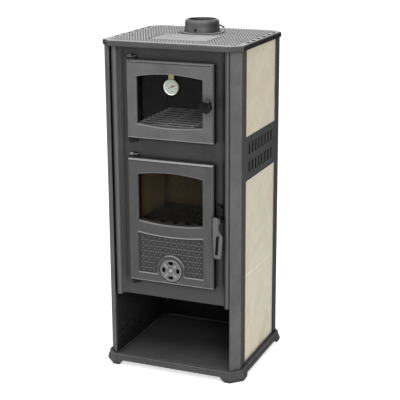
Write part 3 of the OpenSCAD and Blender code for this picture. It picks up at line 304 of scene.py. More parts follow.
def doorMarks(low, high, face, upper, raisedLines=False):
    # low and high: the door's ends; face: the Y of its front; upper: the painted light on its upper bevel
    look = doorLook
    bottom, top = low + look["bevel"], high - look["bevel"]
    front, proud = (("Y", face + start, face + end) for start, end in (look["frontRun"], look["proudRun"]))
    layers = []
    if raisedLines:
        layers = [(look["shadedRaisedLine"], proud), (look["litRaisedLine"], look["litAlong"], proud),
                  (look["litRaisedLine"], look["foot"], proud), (look["shadedRaisedLine"], *look["uprights"], proud)]
    (creaseShade, creaseHalf), (line, rise, lineHalf) = look["creaseShade"], look["line"]
    layers += [(creaseShade, *band("Z", top - creaseHalf, creaseHalf)), (upper, ("lookZ", *look["leanRun"])),
               (look["right"], ("lookX", *look["leanRun"])), (look["under"], ("Z", bottom, bottom - 1)),
               (line, *band("Z", bottom + rise, lineHalf))]
    return [(*layer, front) for layer in layers]


# The vents: each block of louvres lies in an even dark field with a painted highlight along its lower edge.
ventLook = {"rows": (725.0, 786.0), "middle": 4.0, "half": (121, 21), "bar": "#4a4a4a",
            "lip": ("#585858", 0.8, 1.1)}


def ventMarks():
    look = ventLook
    (long, tall), (lip, drop, lipHalf) = look["half"], look["lip"]
    across = band("Y", look["middle"], long)
    layers = []
    for middle in look["rows"]:
        layers += [(look["bar"], *across, *band("Z", middle, tall)),
                   (lip, *across, *band("Z", middle - tall - drop, lipHalf))]
    return layers


# The marks of the other pieces. Front plate: painted shade at the start of the coves and on the left flanks of the
# beads, so that they look lit on their right, painted shade on the far flank of the right one, and the band under the
# fire door is lighter than the rest. Lining: a painted highlight behind the tiles' joint. Lugs: the ones under the
# doors get painted shade. Knob: a painted highlight on the front shoulder of its upper lobes. Bezel: a painted
# highlight on the rim at its lower left, and the tab over it is tarnished.
markLook = {
    "frontPlate": [("#141414", ("wide", 168.5, 172.5), ("wide", 180.5, 176.5), 0.75),
                   ("#141414", ("lookX", 0.5, -0.5), ("Y", -185.5, -187)),
                   ("#141414", ("lookX", 0.8, 0.97), ("X", 100, 120), ("Y", -185.5, -187)),
                   ("#3c3c3c", ("Z", 322, 296), ("Y", -190, -186))],
    "lining": [("#e0d9c8", *band("Z", 355, 2.5))],
    "lugs": [("#161616", *band("Z", middle, 7)) for middle in (312.5, 804.5)],
    "knob": [("#444444", ("lookZ", 0.55, 0.8), ("Y", -229, -232))],
    "bezel": [("#f6f6f2", ((1.0, 0.0, 1.0), 991, 965)), ("#7c765e", ("Z", 1011, 1012))],
}

# Satin heat paint, sprayed on the sand castings: one grey for each, painted lighter or darker by how the light falls
# on its place, with the grain of its place and its rubbed edges with their painted highlight.
# Where set, top is painted light on the faces that look up, and side painted shade on those that look sideways. The
# front plate's depths paint its proud beads lit, its corner of 26 mm paints the shade under the doors, and the fire
# door's depths paint shade in the field sunk behind its front.
doorPaint = heatPaint("satinHeatPaintOvenDoor", "#525252", "#646464", "#c4c4c4", deep=-208, edgeWearAndPaintedLightShare=1.3, specular=0.2,
                      marks=doorMarks(811, 1070, -208, "#646464"))
fireDoorPaint = heatPaint("satinHeatPaintFireDoor", "#404040", "#525252", "#b4b4b4", deep=-211, edgeWearAndPaintedLightShare=1.3, specular=0.2,
                          depths=((-210.2, -209.4, "#343434"),),
                          marks=doorMarks(319, 745, -211, "#868686", raisedLines=True))
# The weave's raised marks: a lighter copy of the fire door's paint, rubbed, and painted as lit.
reliefPaint = heatPaint("rubbedAndLitWeaveTops", "#646464", "#828282", "#b0b0b0", edgeWearAndPaintedLightShare=0.5)
postPaint = heatPaint("satinHeatPaintPosts", "#545454", "#6c6c6c", "#9c9c9c", side=("#343434", "#404040"),
                      metallic=0.0, specular=0.02, grain=1.3)
rearPostPaint = heatPaint("satinHeatPaintRearPosts", "#4c4c4c", "#606060", "#7c7c7c", side=("#262628", "#303032"),
                          metallic=0.0, specular=0.02)
plinthPaint = heatPaint("satinHeatPaintPlinth", "#424242", "#525252", "#a8a8a8", side=("#2c2c2c", "#383838"),
                        metallic=0.0, specular=0.04, edgeWearAndPaintedLightShare=1.2)
platePaint = heatPaint("satinHeatPaintFrontPlate", "#242424", "#393939", "#5e5e5e", roughness=0.4, edgeWearAndPaintedLightShare=0.4,
                       depths=((-187.0, -193.0, "#5c5c5c"),), corner=26, grain=1.3, marks=markLook["frontPlate"])
ventPaint = heatPaint("satinHeatPaintVents", "#464647", "#525253", "#606060", edgeWearAndPaintedLightShare=0.5, metallic=0.0, specular=0.0,
                      corner=2.5, marks=ventMarks())
topPaint = heatPaint("satinHeatPaintTop", "#484848", "#585858", "#8a8a8a", top=("#969696", "#ababab"),
                     side=("#282828", "#343434"), edgeWearAndPaintedLightShare=0.6, metallic=0.0, specular=0.0, marks=topMarks)
# The knurl's studs: a lighter copy of the top plate's paint, painted as lit from above, with rubbed edges.
knurlPaint = heatPaint("litHeatPaintKnurl", "#8e8e8e", "#a8a8a8", "#b4b4b4", edgeWearAndPaintedLightShare=0.3, corner=4, specular=0.1)
collarPaint = heatPaint("satinHeatPaintCollar", "#4e4e4e", "#646464", "#9c9c9c", roughness=0.5, specular=0.2,
                        side=("#161616", "#222222"), sideRun=(0.45, 1.0))

# Cast lugs painted nearly black, with painted highlights on their tops and edges; turned steel pins with a painted
# highlight on top; fired enamel, painted lighter on the faces that look up; a ground disc whose raised ribs get a
# painted highlight; a domed screw with painted shade round its edge.
lugPaint = heatPaint("rubbedAndLitHingeLugs", "#131313", "#202020", "#d2d2d2", top=("#3c3c3c", "#505050"), edgeWearAndPaintedLightShare=1.3,
                     corner=14, specular=0.15, marks=markLook["lugs"])
pinSteel = heatPaint("hingePinSteel", "#161616", "#242424", "#5a5a5a", top=("#d0d0ce", "#e4e4e2"), edgeWearAndPaintedLightShare=0.6,
                     corner=8, specular=0.1)
enamelBox = heatPaint("darkOvenEnamel", "#141414", "#1c1c1c", "#2c2c2c", top=("#848484", "#9c9c9c"), corner=40,
                      specular=0.2)
discIron = heatPaint("groundCastDisc", "#5a5a5a", "#747474", "#b8b8b8", grain=0.8, metallic=0.2, edgeWearAndPaintedLightShare=1.0,
                     depths=((-213.6, -215.0, "#949494"),), corner=6)
screwSteel = heatPaint("domedScrewSteel", "#98989a", "#b4b4b4", "#4c4c4c", metallic=0.4, edgeWearAndPaintedLightShare=0.8, corner=4)

# Rolled sheet steel with a thin matt coat: even, with hardly any relief and no shine.
# The niche's sheet and the linings get painted shade up to 160 mm into their corners.
nicheSheet = speckled("mattBlackSheetSteel", "#222222", "#2e2e2e", 9, 0.6, bump=0.05, corner=160, specular=0.05)
shellSheet = speckled("greyPrimedShellSheet", "#8c8c8c", "#9c9c9c", 9, 0.6, bump=0.05, specular=0.05)
liningSheet = speckled("mattBlackLiningSheet", "#282828", "#343434", 9, 0.6, bump=0.05, corner=160, specular=0.05,
                       marks=markLook["lining"])
tileGlaze = glazedTile("beigeGlazedStoneware")

# Bare irons inside: blackened by hand, sooted by use or grey with ash, all dull. Boards of vermiculite, pressed and
# crumbly.
blackIron = speckled("blackenedIron", "#0b0b0b", "#151515", 5, 0.5, corner=14, specular=0.15)
sootedIron = speckled("sootedCastIron", "#14120f", "#262320", 12, 0.8, corner=60, specular=0.1)
ashyIron = speckled("ashyCastIron", "#46443f", "#5e5b55", 9, 0.8, specular=0.1)
fireBrick = speckled("sootedVermiculiteBoard", "#8c7858", "#b89c74", 6, 0.9, bump=0.6, corner=40, specular=0.1)

# Plated and polished steels: the zinc and the bezel mirror their surroundings, and the bezel has a painted highlight
# at its lower left; the wire is painted pale and bright, a painted reflection of its chrome.
zincSteel = speckled("zincPlatedSteel", "#8d8c88", "#aeada8", 7, 0.35, metallic=1.0, bump=0.02)
rackWire = speckled("chromedWire", "#d4d4d4", "#e6e6e6", 9, 0.35, bump=0.01)
bezelSteel = speckled("polishedBezelSteel", "#7e8176", "#a4a79c", 6, 0.25, metallic=1.0, bump=0.01,
                      marks=markLook["bezel"])

# The dial's printed enamels, moulded phenolic with a slight gloss, a blasted casting, braided glass fibre.
dialCard = speckled("paleDialEnamel", "#b8c2ba", "#ccd5ce", 5, 0.5, bump=0.01, specular=0.2)
needleRed = speckled("redNeedleEnamel", "#a40f14", "#c81a1c", 3, 0.45, bump=0.01, specular=0.2)
printBlack = speckled("blackDialPrint", "#161616", "#222222", 3, 0.6, bump=0.01, specular=0.1)
phenolic = speckled("blackPhenolic", "#020202", "#060606", 4, 0.14, bump=0.02, specular=0.13, marks=markLook["knob"])
handleIron = speckled("blastedCastHandle", "#4e4e4e", "#646464", 3, 0.42, metallic=0.3, bump=0.08, edge=1.0,
                      corner=16, specular=0.35)
glassRope = speckled("braidedGlassRope", "#77746c", "#9a968c", 3, 0.95, bump=0.2, corner=12, specular=0.1)

# Glass ceramic, rolled and fired: nearly clear, its reflection thin. The lens is pressed clear glass.
ovenPane = clearPane("ovenGlassCeramic", "#060606", 0.14, "#ececec")
firePane = clearPane("fireGlassCeramic", "#060606", 0.08, "#e9e7e2")
lensGlass = clearPane("thermometerLens", "#f2f6f3", 0.04, "#f6f8f6", roughness=0.02)
print("stage 2: materials made")

# Which finish each solid of the frame gets.
solidFinishes = (
    (plinthPaint, "plinth"), (topPaint, "top_plate"), (collarPaint, "flue_collar"), (platePaint, "front_plate"),
    (blackIron, "damper_plate damper_lever fire_latch fire_keeper"), (postPaint, "post_front_left post_front_right"),
    (rearPostPaint, "post_rear_left post_rear_right"), (ventPaint, "vent_panel_left vent_panel_right"),
    (tileGlaze, "side_tile_lower_left side_tile_middle_left side_tile_upper_left side_tile_lower_right "
                "side_tile_middle_right side_tile_upper_right"),
    (liningSheet, "side_lining_left side_lining_right"), (shellSheet, "body_shell"),
    (nicheSheet, "niche_ceiling rear_panel ash_pan oven_door_liner fire_door_liner"),
    (zincSteel, "rear_screws oven_glass_clips oven_latch fire_glass_clips"), (enamelBox, "oven_box"),
    (rackWire, "oven_rack"), (fireBrick, "baffle_plate brick_left brick_right brick_rear"),
    (sootedIron, "fire_floor fire_grate"), (ashyIron, "log_guard"), (glassRope, "oven_door_seal fire_door_seal"),
    (lugPaint, "hinge_lugs"), (pinSteel, "hinge_pins"), (doorPaint, "oven_door"), (ovenPane, "oven_glass"),
    (bezelSteel, "thermometer_case"), (dialCard, "thermometer_dial"), (lensGlass, "thermometer_lens"),
    (needleRed, "thermometer_needle"), (phenolic, "oven_knob"), (fireDoorPaint, "fire_door"),
    (firePane, "fire_glass"), (discIron, "air_disc"), (screwSteel, "air_disc_screw"), (handleIron, "fire_handle"),
)
for material, names in solidFinishes:
    for name in names.split():
        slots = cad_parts[name].data.materials
        slots.clear()
        slots.append(material)
print("stage 3: the solids' materials set")


def inSpace(x, y, z):
    # points in metres from coordinates in mm, each an array or a number that is the same for all
    return np.stack(np.broadcast_arrays(x, y, z), axis=-1) * mm


def fullTurn(steps):
    # the angles of a whole turn in equal steps
    return np.linspace(0, 2 * np.pi, steps, endpoint=False)


def gridFaces(rows, columns, wrapRows=False, wrapColumns=False):
    # two triangles between each four neighbours of a grid of points, rows by columns
    i, j = np.meshgrid(np.arange(rows if wrapRows else rows - 1),
                       np.arange(columns if wrapColumns else columns - 1), indexing="ij")
    a = i * columns + j
    b = i * columns + (j + 1) % columns
    c = ((i + 1) % rows) * columns + (j + 1) % columns
    d = ((i + 1) % rows) * columns + j
    return np.concatenate([np.stack([a, b, c], -1).reshape(-1, 3), np.stack([a, c, d], -1).reshape(-1, 3)])


def tubeFaces(rows, columns):
    # closed rings one after another, and a fan at each end round a middle point listed after the rings
    k = np.arange(columns)
    k2, last, middle = (k + 1) % columns, (rows - 1) * columns, np.full(columns, rows * columns)
    return np.concatenate([gridFaces(rows, columns, False, True), np.stack([k2, k, middle], axis=1),
                           np.stack([last + k, last + k2, middle + 1], axis=1)])


def meshFromArrays(name, points, faces):
    # closed shells of triangles, turned outwards: the sum of a . (b x c) over them is six times their volume
    corner = points[faces] - points.mean(axis=0)
    if np.einsum("ij,ij->", corner[:, 0], np.cross(corner[:, 1], corner[:, 2])) < 0:
        faces = faces[:, ::-1]
    faces = np.ascontiguousarray(faces, dtype=np.int32)
    mesh = bpy.data.meshes.new(name)
    count, sides = faces.shape
    mesh.vertices.add(len(points))
    mesh.vertices.foreach_set("co", points.astype(np.float32).ravel())
    mesh.loops.add(count * sides)
    mesh.loops.foreach_set("vertex_index", faces.ravel())
    mesh.polygons.add(count)
    mesh.polygons.foreach_set("loop_start", np.arange(0, count * sides, sides, dtype=np.int32))
    mesh.polygons.foreach_set("loop_total", np.full(count, sides, dtype=np.int32))
    mesh.update(calc_edges=True)
    mesh.validate()
    return mesh


def meshFromLoops(name, grid):
    # a grid that closes both ways, as a ring does
    return meshFromArrays(name, grid.reshape(-1, 3), gridFaces(*grid.shape[:2], True, True))


def meshFromRings(name, rings):
    # a tube of closed rings with its two ends filled
    points = np.concatenate([rings.reshape(-1, 3), [rings[0].mean(axis=0)], [rings[-1].mean(axis=0)]])
    return meshFromArrays(name, points, tubeFaces(*rings.shape[:2]))


def flatPlate(name, outline, levels):
    # an outline in X and Z between two levels of Y
    return meshFromRings(name, inSpace(outline[:, 0], np.array(levels)[:, None], outline[:, 1]))


def revolve(name, profile, centre, steps=48):
    # a profile of radius and distance turned about an axis along Y through centre
    angle = fullTurn(steps)
    radius, along = np.array(profile, dtype=float).T[..., None]
    return meshFromRings(name, inSpace(centre[0] + radius * np.cos(angle), along, centre[1] + radius * np.sin(angle)))


def studField(name, centres, ring, layers, toSpace):
    # many small studs: each layer is the ring scaled and lifted, and a middle point closes the first and the last one
    scale, lift = np.array(layers).T
    count, tiers, sides = len(centres), len(layers), len(ring)
    flat = centres[:, None, None] + ring * scale[:, None, None]
    shell = np.concatenate([flat, np.broadcast_to(lift[:, None, None], (count, tiers, sides, 1))], axis=-1)
    ends = np.stack(np.broadcast_arrays(centres[:, :1], centres[:, 1:], lift[[0, -1]]), axis=-1)
    points = np.concatenate([shell.reshape(count, -1, 3), ends], axis=1)
    faces = tubeFaces(tiers, sides) + np.arange(count)[:, None, None] * points.shape[1]
    return meshFromArrays(name, toSpace(*points.reshape(-1, 3).T), faces.reshape(-1, 3))


def joinMeshes(name, meshes):
    # several meshes become one, with their points in one list
    whole = bmesh.new()
    for mesh in meshes:
        whole.from_mesh(mesh)
    joined = bpy.data.meshes.new(name)
    whole.to_mesh(joined)
    whole.free()
    return joined


def addObject(name, data):
    holder = bpy.data.objects.new(name, data)
    bpy.context.scene.collection.objects.link(holder)
    return holder


def addPiece(name, meshes, material, body, smooth=True):
    # a finished piece, joined from its meshes: its object stays at the origin and it rides on a body
    mesh = joinMeshes(name, meshes)
    piece = addObject(name, mesh)
    mesh.materials.append(material)
    mesh.polygons.foreach_set("use_smooth", np.full(len(mesh.polygons), smooth))
    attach(piece, body)
    return piece


def makeKnurl():
    # a diamond stud at each point of a grid whose odd rows are shifted by half a pitch, sized by knurlLook above
    look = knurlLook
    halfX, halfY = look["pitchX"] / 2, look["pitchY"] / 2
    rows = np.arange(-int(look["halfY"] / halfY), int(look["halfY"] / halfY) + 1)
    columns = np.arange(-int(look["halfX"] / halfX), int(look["halfX"] / halfX) + 1)
    x, y = np.meshgrid(columns * halfX, rows * halfY)
    px, py, hx, hy = look["pad"]
    kept = (np.add.outer(rows, columns) % 2 == 0)
    kept &= ~((np.abs(x - px) < hx + look["border"]) & (np.abs(y - py) < hy + look["border"]))
    kept &= np.hypot(x - look["flue"][0], y - look["flue"][1]) > look["ring"] + look["border"]
    ring = np.array([[1, 0], [0, 1], [-1, 0], [0, -1]]) * [look["pitchX"], look["pitchY"]]
    studs = studField("knurl", np.stack([x[kept], y[kept]], axis=1), ring, look["layers"],
                      lambda x, y, high: inSpace(x, y, look["top"] + high))
    addPiece("topPlateKnurl", [studs], knurlPaint, "stove", smooth=False)


makeKnurl()

# Woven relief in the fire door's panel: rows of long and short dashes with rows of dots between them. Each kind of
# mark has its shift along the row, its top row, the number of its rows and its half sizes.
weaveLook = {"ground": -209.0, "high": 495.0, "sag": 8.5, "half": 116.0, "row": 19.5, "pitch": 20.2, "reach": 7,
             "disc": (0.0, 370.0), "clear": 57.0, "underEdge": 4.5, "besideEdge": 2.5,
             "sides": 12, "power": 0.75, "layers": [(1.0, -0.3), (0.92, 0.98), (0.6, 1.4)],
             "marks": ((8.0, 468.0, 6, 4.1, 1.3), (-3.3, 468.0, 6, 3.0, 1.3), (1.4, 477.8, 7, 1.7, 1.7))}


def makeWeave():
    # the columns line up from row to row; a mark is kept under the hollow edge and outside the ring over the disc, and
    # its outline is a superellipse: each axis is the cosine or sine raised to a power below one
    look = weaveLook
    radius = (look["half"] ** 2 + look["sag"] ** 2) / (2 * look["sag"])
    angle = fullTurn(look["sides"]) + np.pi / look["sides"]
    waves = np.stack([np.cos(angle), np.sin(angle)], axis=1)
    outline = np.sign(waves) * np.abs(waves) ** look["power"]
    steps = np.arange(-look["reach"], look["reach"] + 1) * look["pitch"]
    parts = []
    for shift, top, count, halfU, halfV in look["marks"]:
        x, z = np.meshgrid(steps + shift, top - np.arange(count) * look["row"])
        edge = look["high"] - look["sag"] + radius - np.sqrt(radius ** 2 - x ** 2)
        kept = (z < edge - look["underEdge"]) & (np.abs(x) < look["half"] - look["besideEdge"] - halfU)
        kept &= np.hypot(x - look["disc"][0], z - look["disc"][1]) > look["clear"]
        parts.append(studField("marks", np.stack([x[kept], z[kept]], axis=1), outline * [halfU, halfV],
                               look["layers"], lambda x, z, high: inSpace(x, look["ground"] - high, z)))
    addPiece("fireDoorWeave", parts, reliefPaint, "fire_door")


makeWeave()

# Star knob of moulded phenolic with six shallow lobes and a domed face. Its profile is parts of the radius and of the
# depth, from the back to the face's middle.
knobLook = {"radius": 23.0, "lobes": 6, "depth": 0.075, "turn": 50, "back": -222.0, "depthAlong": 17.6,
            "hub": 10.0, "hubEnd": -208.3, "shaft": 4.0, "shaftEnd": -172.5, "axis": (134.0, 939.0),
            "fadeRun": (0.3, 0.8),
            "profile": [(0.30, 0.0), (0.78, 0.0), (0.88, -0.05), (0.95, -0.16), (0.985, -0.30), (1.0, -0.45),
                        (0.99, -0.58), (0.96, -0.69), (0.91, -0.79), (0.83, -0.87), (0.70, -0.93), (0.52, -0.97),
                        (0.30, -0.995), (0.12, -1.0)]}


def makeKnob():
    # radius = profile times (1 - depth + depth cos(lobes times angle)), and the lobes fade towards the middle
    look = knobLook
    back, axis, hub, shaft = look["back"], look["axis"], look["hub"], look["shaft"]
    part, along = np.array(look["profile"]).T[..., None]
    angle = fullTurn(120)
    wave = 1 - look["depth"] + look["depth"] * np.cos(look["lobes"] * (angle - np.radians(look["turn"])))
    radius = look["radius"] * part * (1 + np.interp(part, look["fadeRun"], (0, 1)) * (wave - 1))
    star = meshFromRings("star", inSpace(axis[0] + radius * np.cos(angle), back + look["depthAlong"] * along,
                                         axis[1] + radius * np.sin(angle)))
    end = look["hubEnd"]
    boss = revolve("hub", [(8, back + 0.5), (hub, back + 0.5), (hub, end - 1), (hub - 1, end)], axis)
    knob = addPiece("ovenDoorStarKnob", [star, boss], phenolic, "oven_knob")
    spindle = revolve("shaft", [(shaft, end - 1), (shaft, look["shaftEnd"] - 1), (shaft - 1, look["shaftEnd"])], axis)
    addPiece("ovenKnobShaft", [spindle], zincSteel, "oven_knob")
    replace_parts(knob, "oven_knob")


makeKnob()

# Cast lever handle: a tab on the pivot and a loop with a finger slot, all edges rounded. The tab, the loop and the
# slot are hulls of discs, each with its middle and radius.
leverLook = {"pivot": (169.0, 560.0), "face": -230.0, "back": -223.0, "round": 2.2, "soften": 5, "columns": 220,
             "tab": [(-9, 16, 2), (-1.5, 8, 10), (-9, -28, 2), (6.5, -28, 2)],
             "loop": [(-9, -30, 2), (6.5, -28, 2), (13.5, -48, 9), (11.5, -115, 6), (-2, -115, 6), (-8, -70, 3)],
             "slot": [(7.5, -44, 2.5), (3, -50, 2.5), (-0.5, -107, 2.5), (4, -107, 2.5)],
             "middle": (3.5, -76.0), "hub": 10.0, "hubEnd": -209.3, "shaft": 5.0, "shaftEnd": -192.5}


def hullReach(discs, middle, rays):
    # how far a ray from middle runs inside the hull of the discs: the nearest support line ahead of it
    turn = fullTurn(1440)  # support lines a quarter of a degree apart
    normals = np.stack([np.cos(turn), np.sin(turn)], axis=1)
    discs = np.array(discs, dtype=float)
    support = (normals @ discs[:, :2].T + discs[:, 2]).max(axis=1) - normals @ middle
    facing = rays @ normals.T
    with np.errstate(divide="ignore", invalid="ignore"):
        distance = support / facing
    out = np.where(facing > 1e-9, distance, np.inf).min(axis=1)
    into = np.where(facing < -1e-9, distance, -np.inf).max(axis=1)
    return np.where(into < out, out, 0.0)[:, None]


def evenLoop(points, count):
    # the closed line walked in equal steps
    closed = np.concatenate([points, points[:1]])
    walked = np.concatenate([[0], np.cumsum(np.linalg.norm(np.diff(closed, axis=0), axis=1))])
    stops = np.linspace(0, walked[-1], count, endpoint=False)
    return np.stack([np.interp(stops, walked, closed[:, k]) for k in (0, 1)], axis=1)


def loopNormals(points):
    # outward normals of a closed line that runs anticlockwise
    along = np.roll(points, -1, axis=0) - np.roll(points, 1, axis=0)
    normal = np.stack([along[:, 1], -along[:, 0]], axis=1)
    return normal / np.linalg.norm(normal, axis=1, keepdims=True)


def makeLever():
    # the plate's section, a rounded oblong between the slot's edge and the outline, carried round the slot
    look = leverLook
    middle = np.array(look["middle"])
    turn = fullTurn(3000)
    rays = np.stack([np.cos(turn), np.sin(turn)], axis=1)
    reach = np.maximum(hullReach(look["loop"], middle, rays), hullReach(look["tab"], middle, rays))
    outer = evenLoop(middle + rays * reach, look["columns"])
    for _ in range(look["soften"]):
        outer = (np.roll(outer, 1, axis=0) + 2 * outer + np.roll(outer, -1, axis=0)) / 4
    toward = outer - middle
    toward /= np.linalg.norm(toward, axis=1, keepdims=True)
    inner = middle + toward * hullReach(look["slot"], middle, toward)
    outNormal, inNormal = loopNormals(outer), loopNormals(inner)
    bend = np.linspace(0, np.pi / 2, 6)
    r, face, back, pivot = look["round"], look["face"], look["back"], look["pivot"]
    rows = []
    for edge, inward, level, sign, angles in (
            (outer, -outNormal, face, 1, bend), (outer, -outNormal, back, -1, bend[::-1]),
            (inner, inNormal, back, -1, bend), (inner, inNormal, face, 1, bend[::-1])):
        for a in angles:
            flat = edge + inward * r * (1 - np.sin(a)) + pivot
            rows.append(inSpace(flat[:, 0], level + sign * r * (1 - np.cos(a)), flat[:, 1]))
    hub, shaft, hubEnd, shaftEnd = look["hub"], look["shaft"], look["hubEnd"], look["shaftEnd"]
    parts = [meshFromLoops("plate", np.stack(rows)),
             revolve("hub", [(8, back - 0.5), (hub, back - 0.5), (hub, hubEnd - 0.8), (hub - 0.8, hubEnd)], pivot),
             revolve("shaft", [(shaft, hubEnd - 1), (shaft, shaftEnd - 0.8), (shaft - 0.8, shaftEnd)], pivot, 32)]
    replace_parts(addPiece("fireDoorLever", parts, handleIron, "fire_handle"), "fire_handle")


makeLever()

# Twisted glass-fibre rope in the grooves round the two openings, laid as a closed loop.
ropeLook = {"half": 147.5, "y": -183.85, "wide": 2.4, "deep": 1.8, "pitch": 12.0, "corner": 8.0, "strand": 0.16,
            "step": 1.5, "oven": (821.5, 1059.5), "fire": (329.5, 734.5)}


def makeRope(name, low, high, node):
    # three strands: the section's radius is 1 - strand + strand |cos(1.5 (angle - twist))| along the loop
    look = ropeLook
    hx, hz, c = look["half"] - look["corner"], (high - low) / 2 - look["corner"], look["corner"]
    bend = np.radians(np.linspace(0, 90, 9))
    line = np.concatenate([np.stack([x + c * np.cos(bend + start), z + c * np.sin(bend + start)], axis=1)
                           for x, z, start in ((hx, hz, 0), (-hx, hz, np.pi / 2), (-hx, -hz, np.pi),
                                               (hx, -hz, 1.5 * np.pi))])
    length = np.linalg.norm(np.diff(line, axis=0), axis=1).sum()
    count = int(length / look["step"])
    path = evenLoop(line, count) + np.array([0, (low + high) / 2])
    normal = loopNormals(path)
    twist = fullTurn(count)[:, None] * round(length / look["pitch"])
    angle = fullTurn(18)
    swell = 1 - look["strand"] + look["strand"] * np.abs(np.cos(1.5 * (angle - twist)))
    side = look["wide"] * swell * np.cos(angle)
    grid = inSpace(path[:, :1] + normal[:, :1] * side, look["y"] + look["deep"] * swell * np.sin(angle),
                   path[:, 1:] + normal[:, 1:] * side)
    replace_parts(addPiece(name, [meshFromLoops(name, grid)], glassRope, "stove"), node)


makeRope("ovenDoorRope", *ropeLook["oven"], "oven_door_seal")
makeRope("fireDoorRope", *ropeLook["fire"], "fire_door_seal")

# The dial's print, 0 to 300 degrees over the needle's travel of 240 degrees.
dialLook = {"centre": (0.0, 987.0), "levels": (-186.58, -186.65), "first": 144.0, "sweep": -240.0, "steps": 30,
            "outer": 21.0, "minor": (1.8, 0.35), "major": (3.2, 0.6), "every": 5, "degrees": 10, "numbers": 14.6,
            "size": 4.4, "unit": (-11.5, -6.0)}


def dialText(words, spot):
    # built-in letters, made a mesh in their own plane before they get a place on the dial
    look = dialLook
    near, far = look["levels"]
    curve = bpy.data.curves.new("dialText", "FONT")
    curve.body, curve.size, curve.extrude = words, look["size"], (near - far) / 2
    curve.align_x, curve.align_y = "CENTER", "CENTER"
    curve.resolution_u = 3
    holder = addObject("dialText", curve)
    bpy.context.view_layer.update()
    mesh = bpy.data.meshes.new_from_object(holder.evaluated_get(bpy.context.evaluated_depsgraph_get()))
    bpy.data.objects.remove(holder)
    bpy.data.curves.remove(curve)
    x, z = np.add(spot, look["centre"])
    mesh.transform(Matrix.Translation(Vector((x, (near + far) / 2, z)) * mm) @ Matrix.Rotation(np.pi / 2, 4, "X")
                   @ Matrix.Scale(mm, 4))
    return mesh


def makeDialPrint():
    # tick k stands at first + sweep k / steps degrees, and every fifth one is longer and has its number
    look = dialLook
    parts = []
    for k in range(look["steps"] + 1):
        a = np.radians(look["first"] + look["sweep"] * k / look["steps"])
        out, side = np.array([np.cos(a), np.sin(a)]), np.array([-np.sin(a), np.cos(a)])
        length, width = look["minor"] if k % look["every"] else look["major"]
        near, far, side = out * (look["outer"] - length), out * look["outer"], side * width / 2
        outline = np.array([near - side, far - side, far + side, near + side]) + look["centre"]
        parts.append(flatPlate("tick", outline, look["levels"]))
        if k % look["every"] == 0:
            parts.append(dialText(str(k * look["degrees"]), out * look["numbers"]))
    parts.append(dialText("°C", look["unit"]))
    addPiece("thermometerPrint", parts, printBlack, "oven_door", smooth=False)


makeDialPrint()

# The needle: a thin dark tail, an eye on the dial's pin and a broad red head, turned 24 degrees up at rest.
needleLook = {"turn": 24.0, "levels": (-187.8, -188.6), "eye": (1.1, 2.4),
              "head": [(1.4, -1.6), (4.0, -3.0), (8.5, -2.4), (15.0, 0.0), (8.5, 2.4), (4.0, 3.0), (1.4, 1.6)],
              "tail": [(-15.0, -0.35), (-2.0, -0.9), (-2.0, 0.9), (-15.0, 0.35)]}


def makeNeedle():
    # flat plates between two levels of Y: an outline turned about the dial's middle, and a ring round the pin
    look = needleLook
    cx, cz = dialLook["centre"]
    a, (near, far), (hole, rim) = np.radians(look["turn"]), look["levels"], look["eye"]
    turn = np.array([[np.cos(a), np.sin(a)], [-np.sin(a), np.cos(a)]])
    head, tail = (flatPlate(key, np.array(look[key]) @ turn + (cx, cz), look["levels"]) for key in ("head", "tail"))
    angle = fullTurn(32)
    radius, level = np.array([(hole, near), (rim, near), (rim, far), (hole, far)]).T[..., None]
    eye = meshFromLoops("eye", inSpace(cx + radius * np.cos(angle), level, cz + radius * np.sin(angle)))
    pointer = addPiece("needleHead", [eye, head], needleRed, "thermometer_needle", smooth=False)
    addPiece("needleTail", [tail], blackIron, "thermometer_needle", smooth=False)
    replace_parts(pointer, "thermometer_needle")


makeNeedle()

# Bent rod on the end of the damper's shaft, a round bar arched clear of the collar.
rodLook = {"shaft": 4.0, "y": (12.6, 145.0), "z": 1144.0, "at": 141.6, "radius": 2.6, "tip": 2.2, "rings": 60,
           "path": [(-3, 1144), (2, 1145.4), (12, 1148.6), (24, 1150.2), (36, 1148.6), (46, 1145), (55, 1140.8)]}


def makeDamperRod():
    # rings square to a smooth line fitted to the path's points, drawn in to a round tip at both ends
    look = rodLook
    knots, count = np.array(look["path"], dtype=float), look["rings"]
    fine = np.linspace(0, len(knots) - 1, count)
    smooth = np.stack([np.polyval(np.polyfit(np.arange(len(knots)), knots[:, k], 4), fine) for k in (0, 1)], axis=1)
    ahead = np.gradient(smooth, axis=0)
    ahead /= np.linalg.norm(ahead, axis=1, keepdims=True)
    k, angle = np.arange(count), fullTurn(16)
    fromEnd = np.minimum(k + 0.6, count - 0.4 - k)
    radius = look["radius"] * np.sqrt(np.clip(fromEnd / look["tip"], 0, 1))[:, None]
    across, along = radius * np.cos(angle), radius * np.sin(angle)
    rod = meshFromRings("rod", inSpace(smooth[:, :1] - ahead[:, 1:] * across, look["at"] + along,
                                       smooth[:, 1:] + ahead[:, :1] * across))
    r, (near, far) = look["shaft"], look["y"]
    shaft = revolve("shaft", [(r - 0.8, near), (r, near + 0.8), (r, far - 0.8), (r - 0.8, far)], (0.0, look["z"]), 32)
    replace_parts(addPiece("damperBentRod", [shaft, rod], blackIron, "damper"), "damper_lever")


makeDamperRod()
print("stage 4: new pieces made")

# A pale floor, a broad lamp overhead, a weaker one at the front right, a faint one at the left, a pale sky.
# Each lamp has its place in metres, its power in watts and its width in metres.
studioLook = {"sky": 0.27, "floorGlow": (0.62, 0.85), "glowRun": (1200, 5000), "floorSide": 120.0,
              "floorColour": "#f4f4f4", "aim": (0.0, 0.0, 0.6),
              "overLamp": ((0.5, -1.3, 4.2), 150.0, 3.0), "keyLamp": ((2.4, -4.0, 2.4), 84.0, 2.2),
              "fillLamp": ((-3.4, -3.4, 2.0), 14.0, 2.6)}


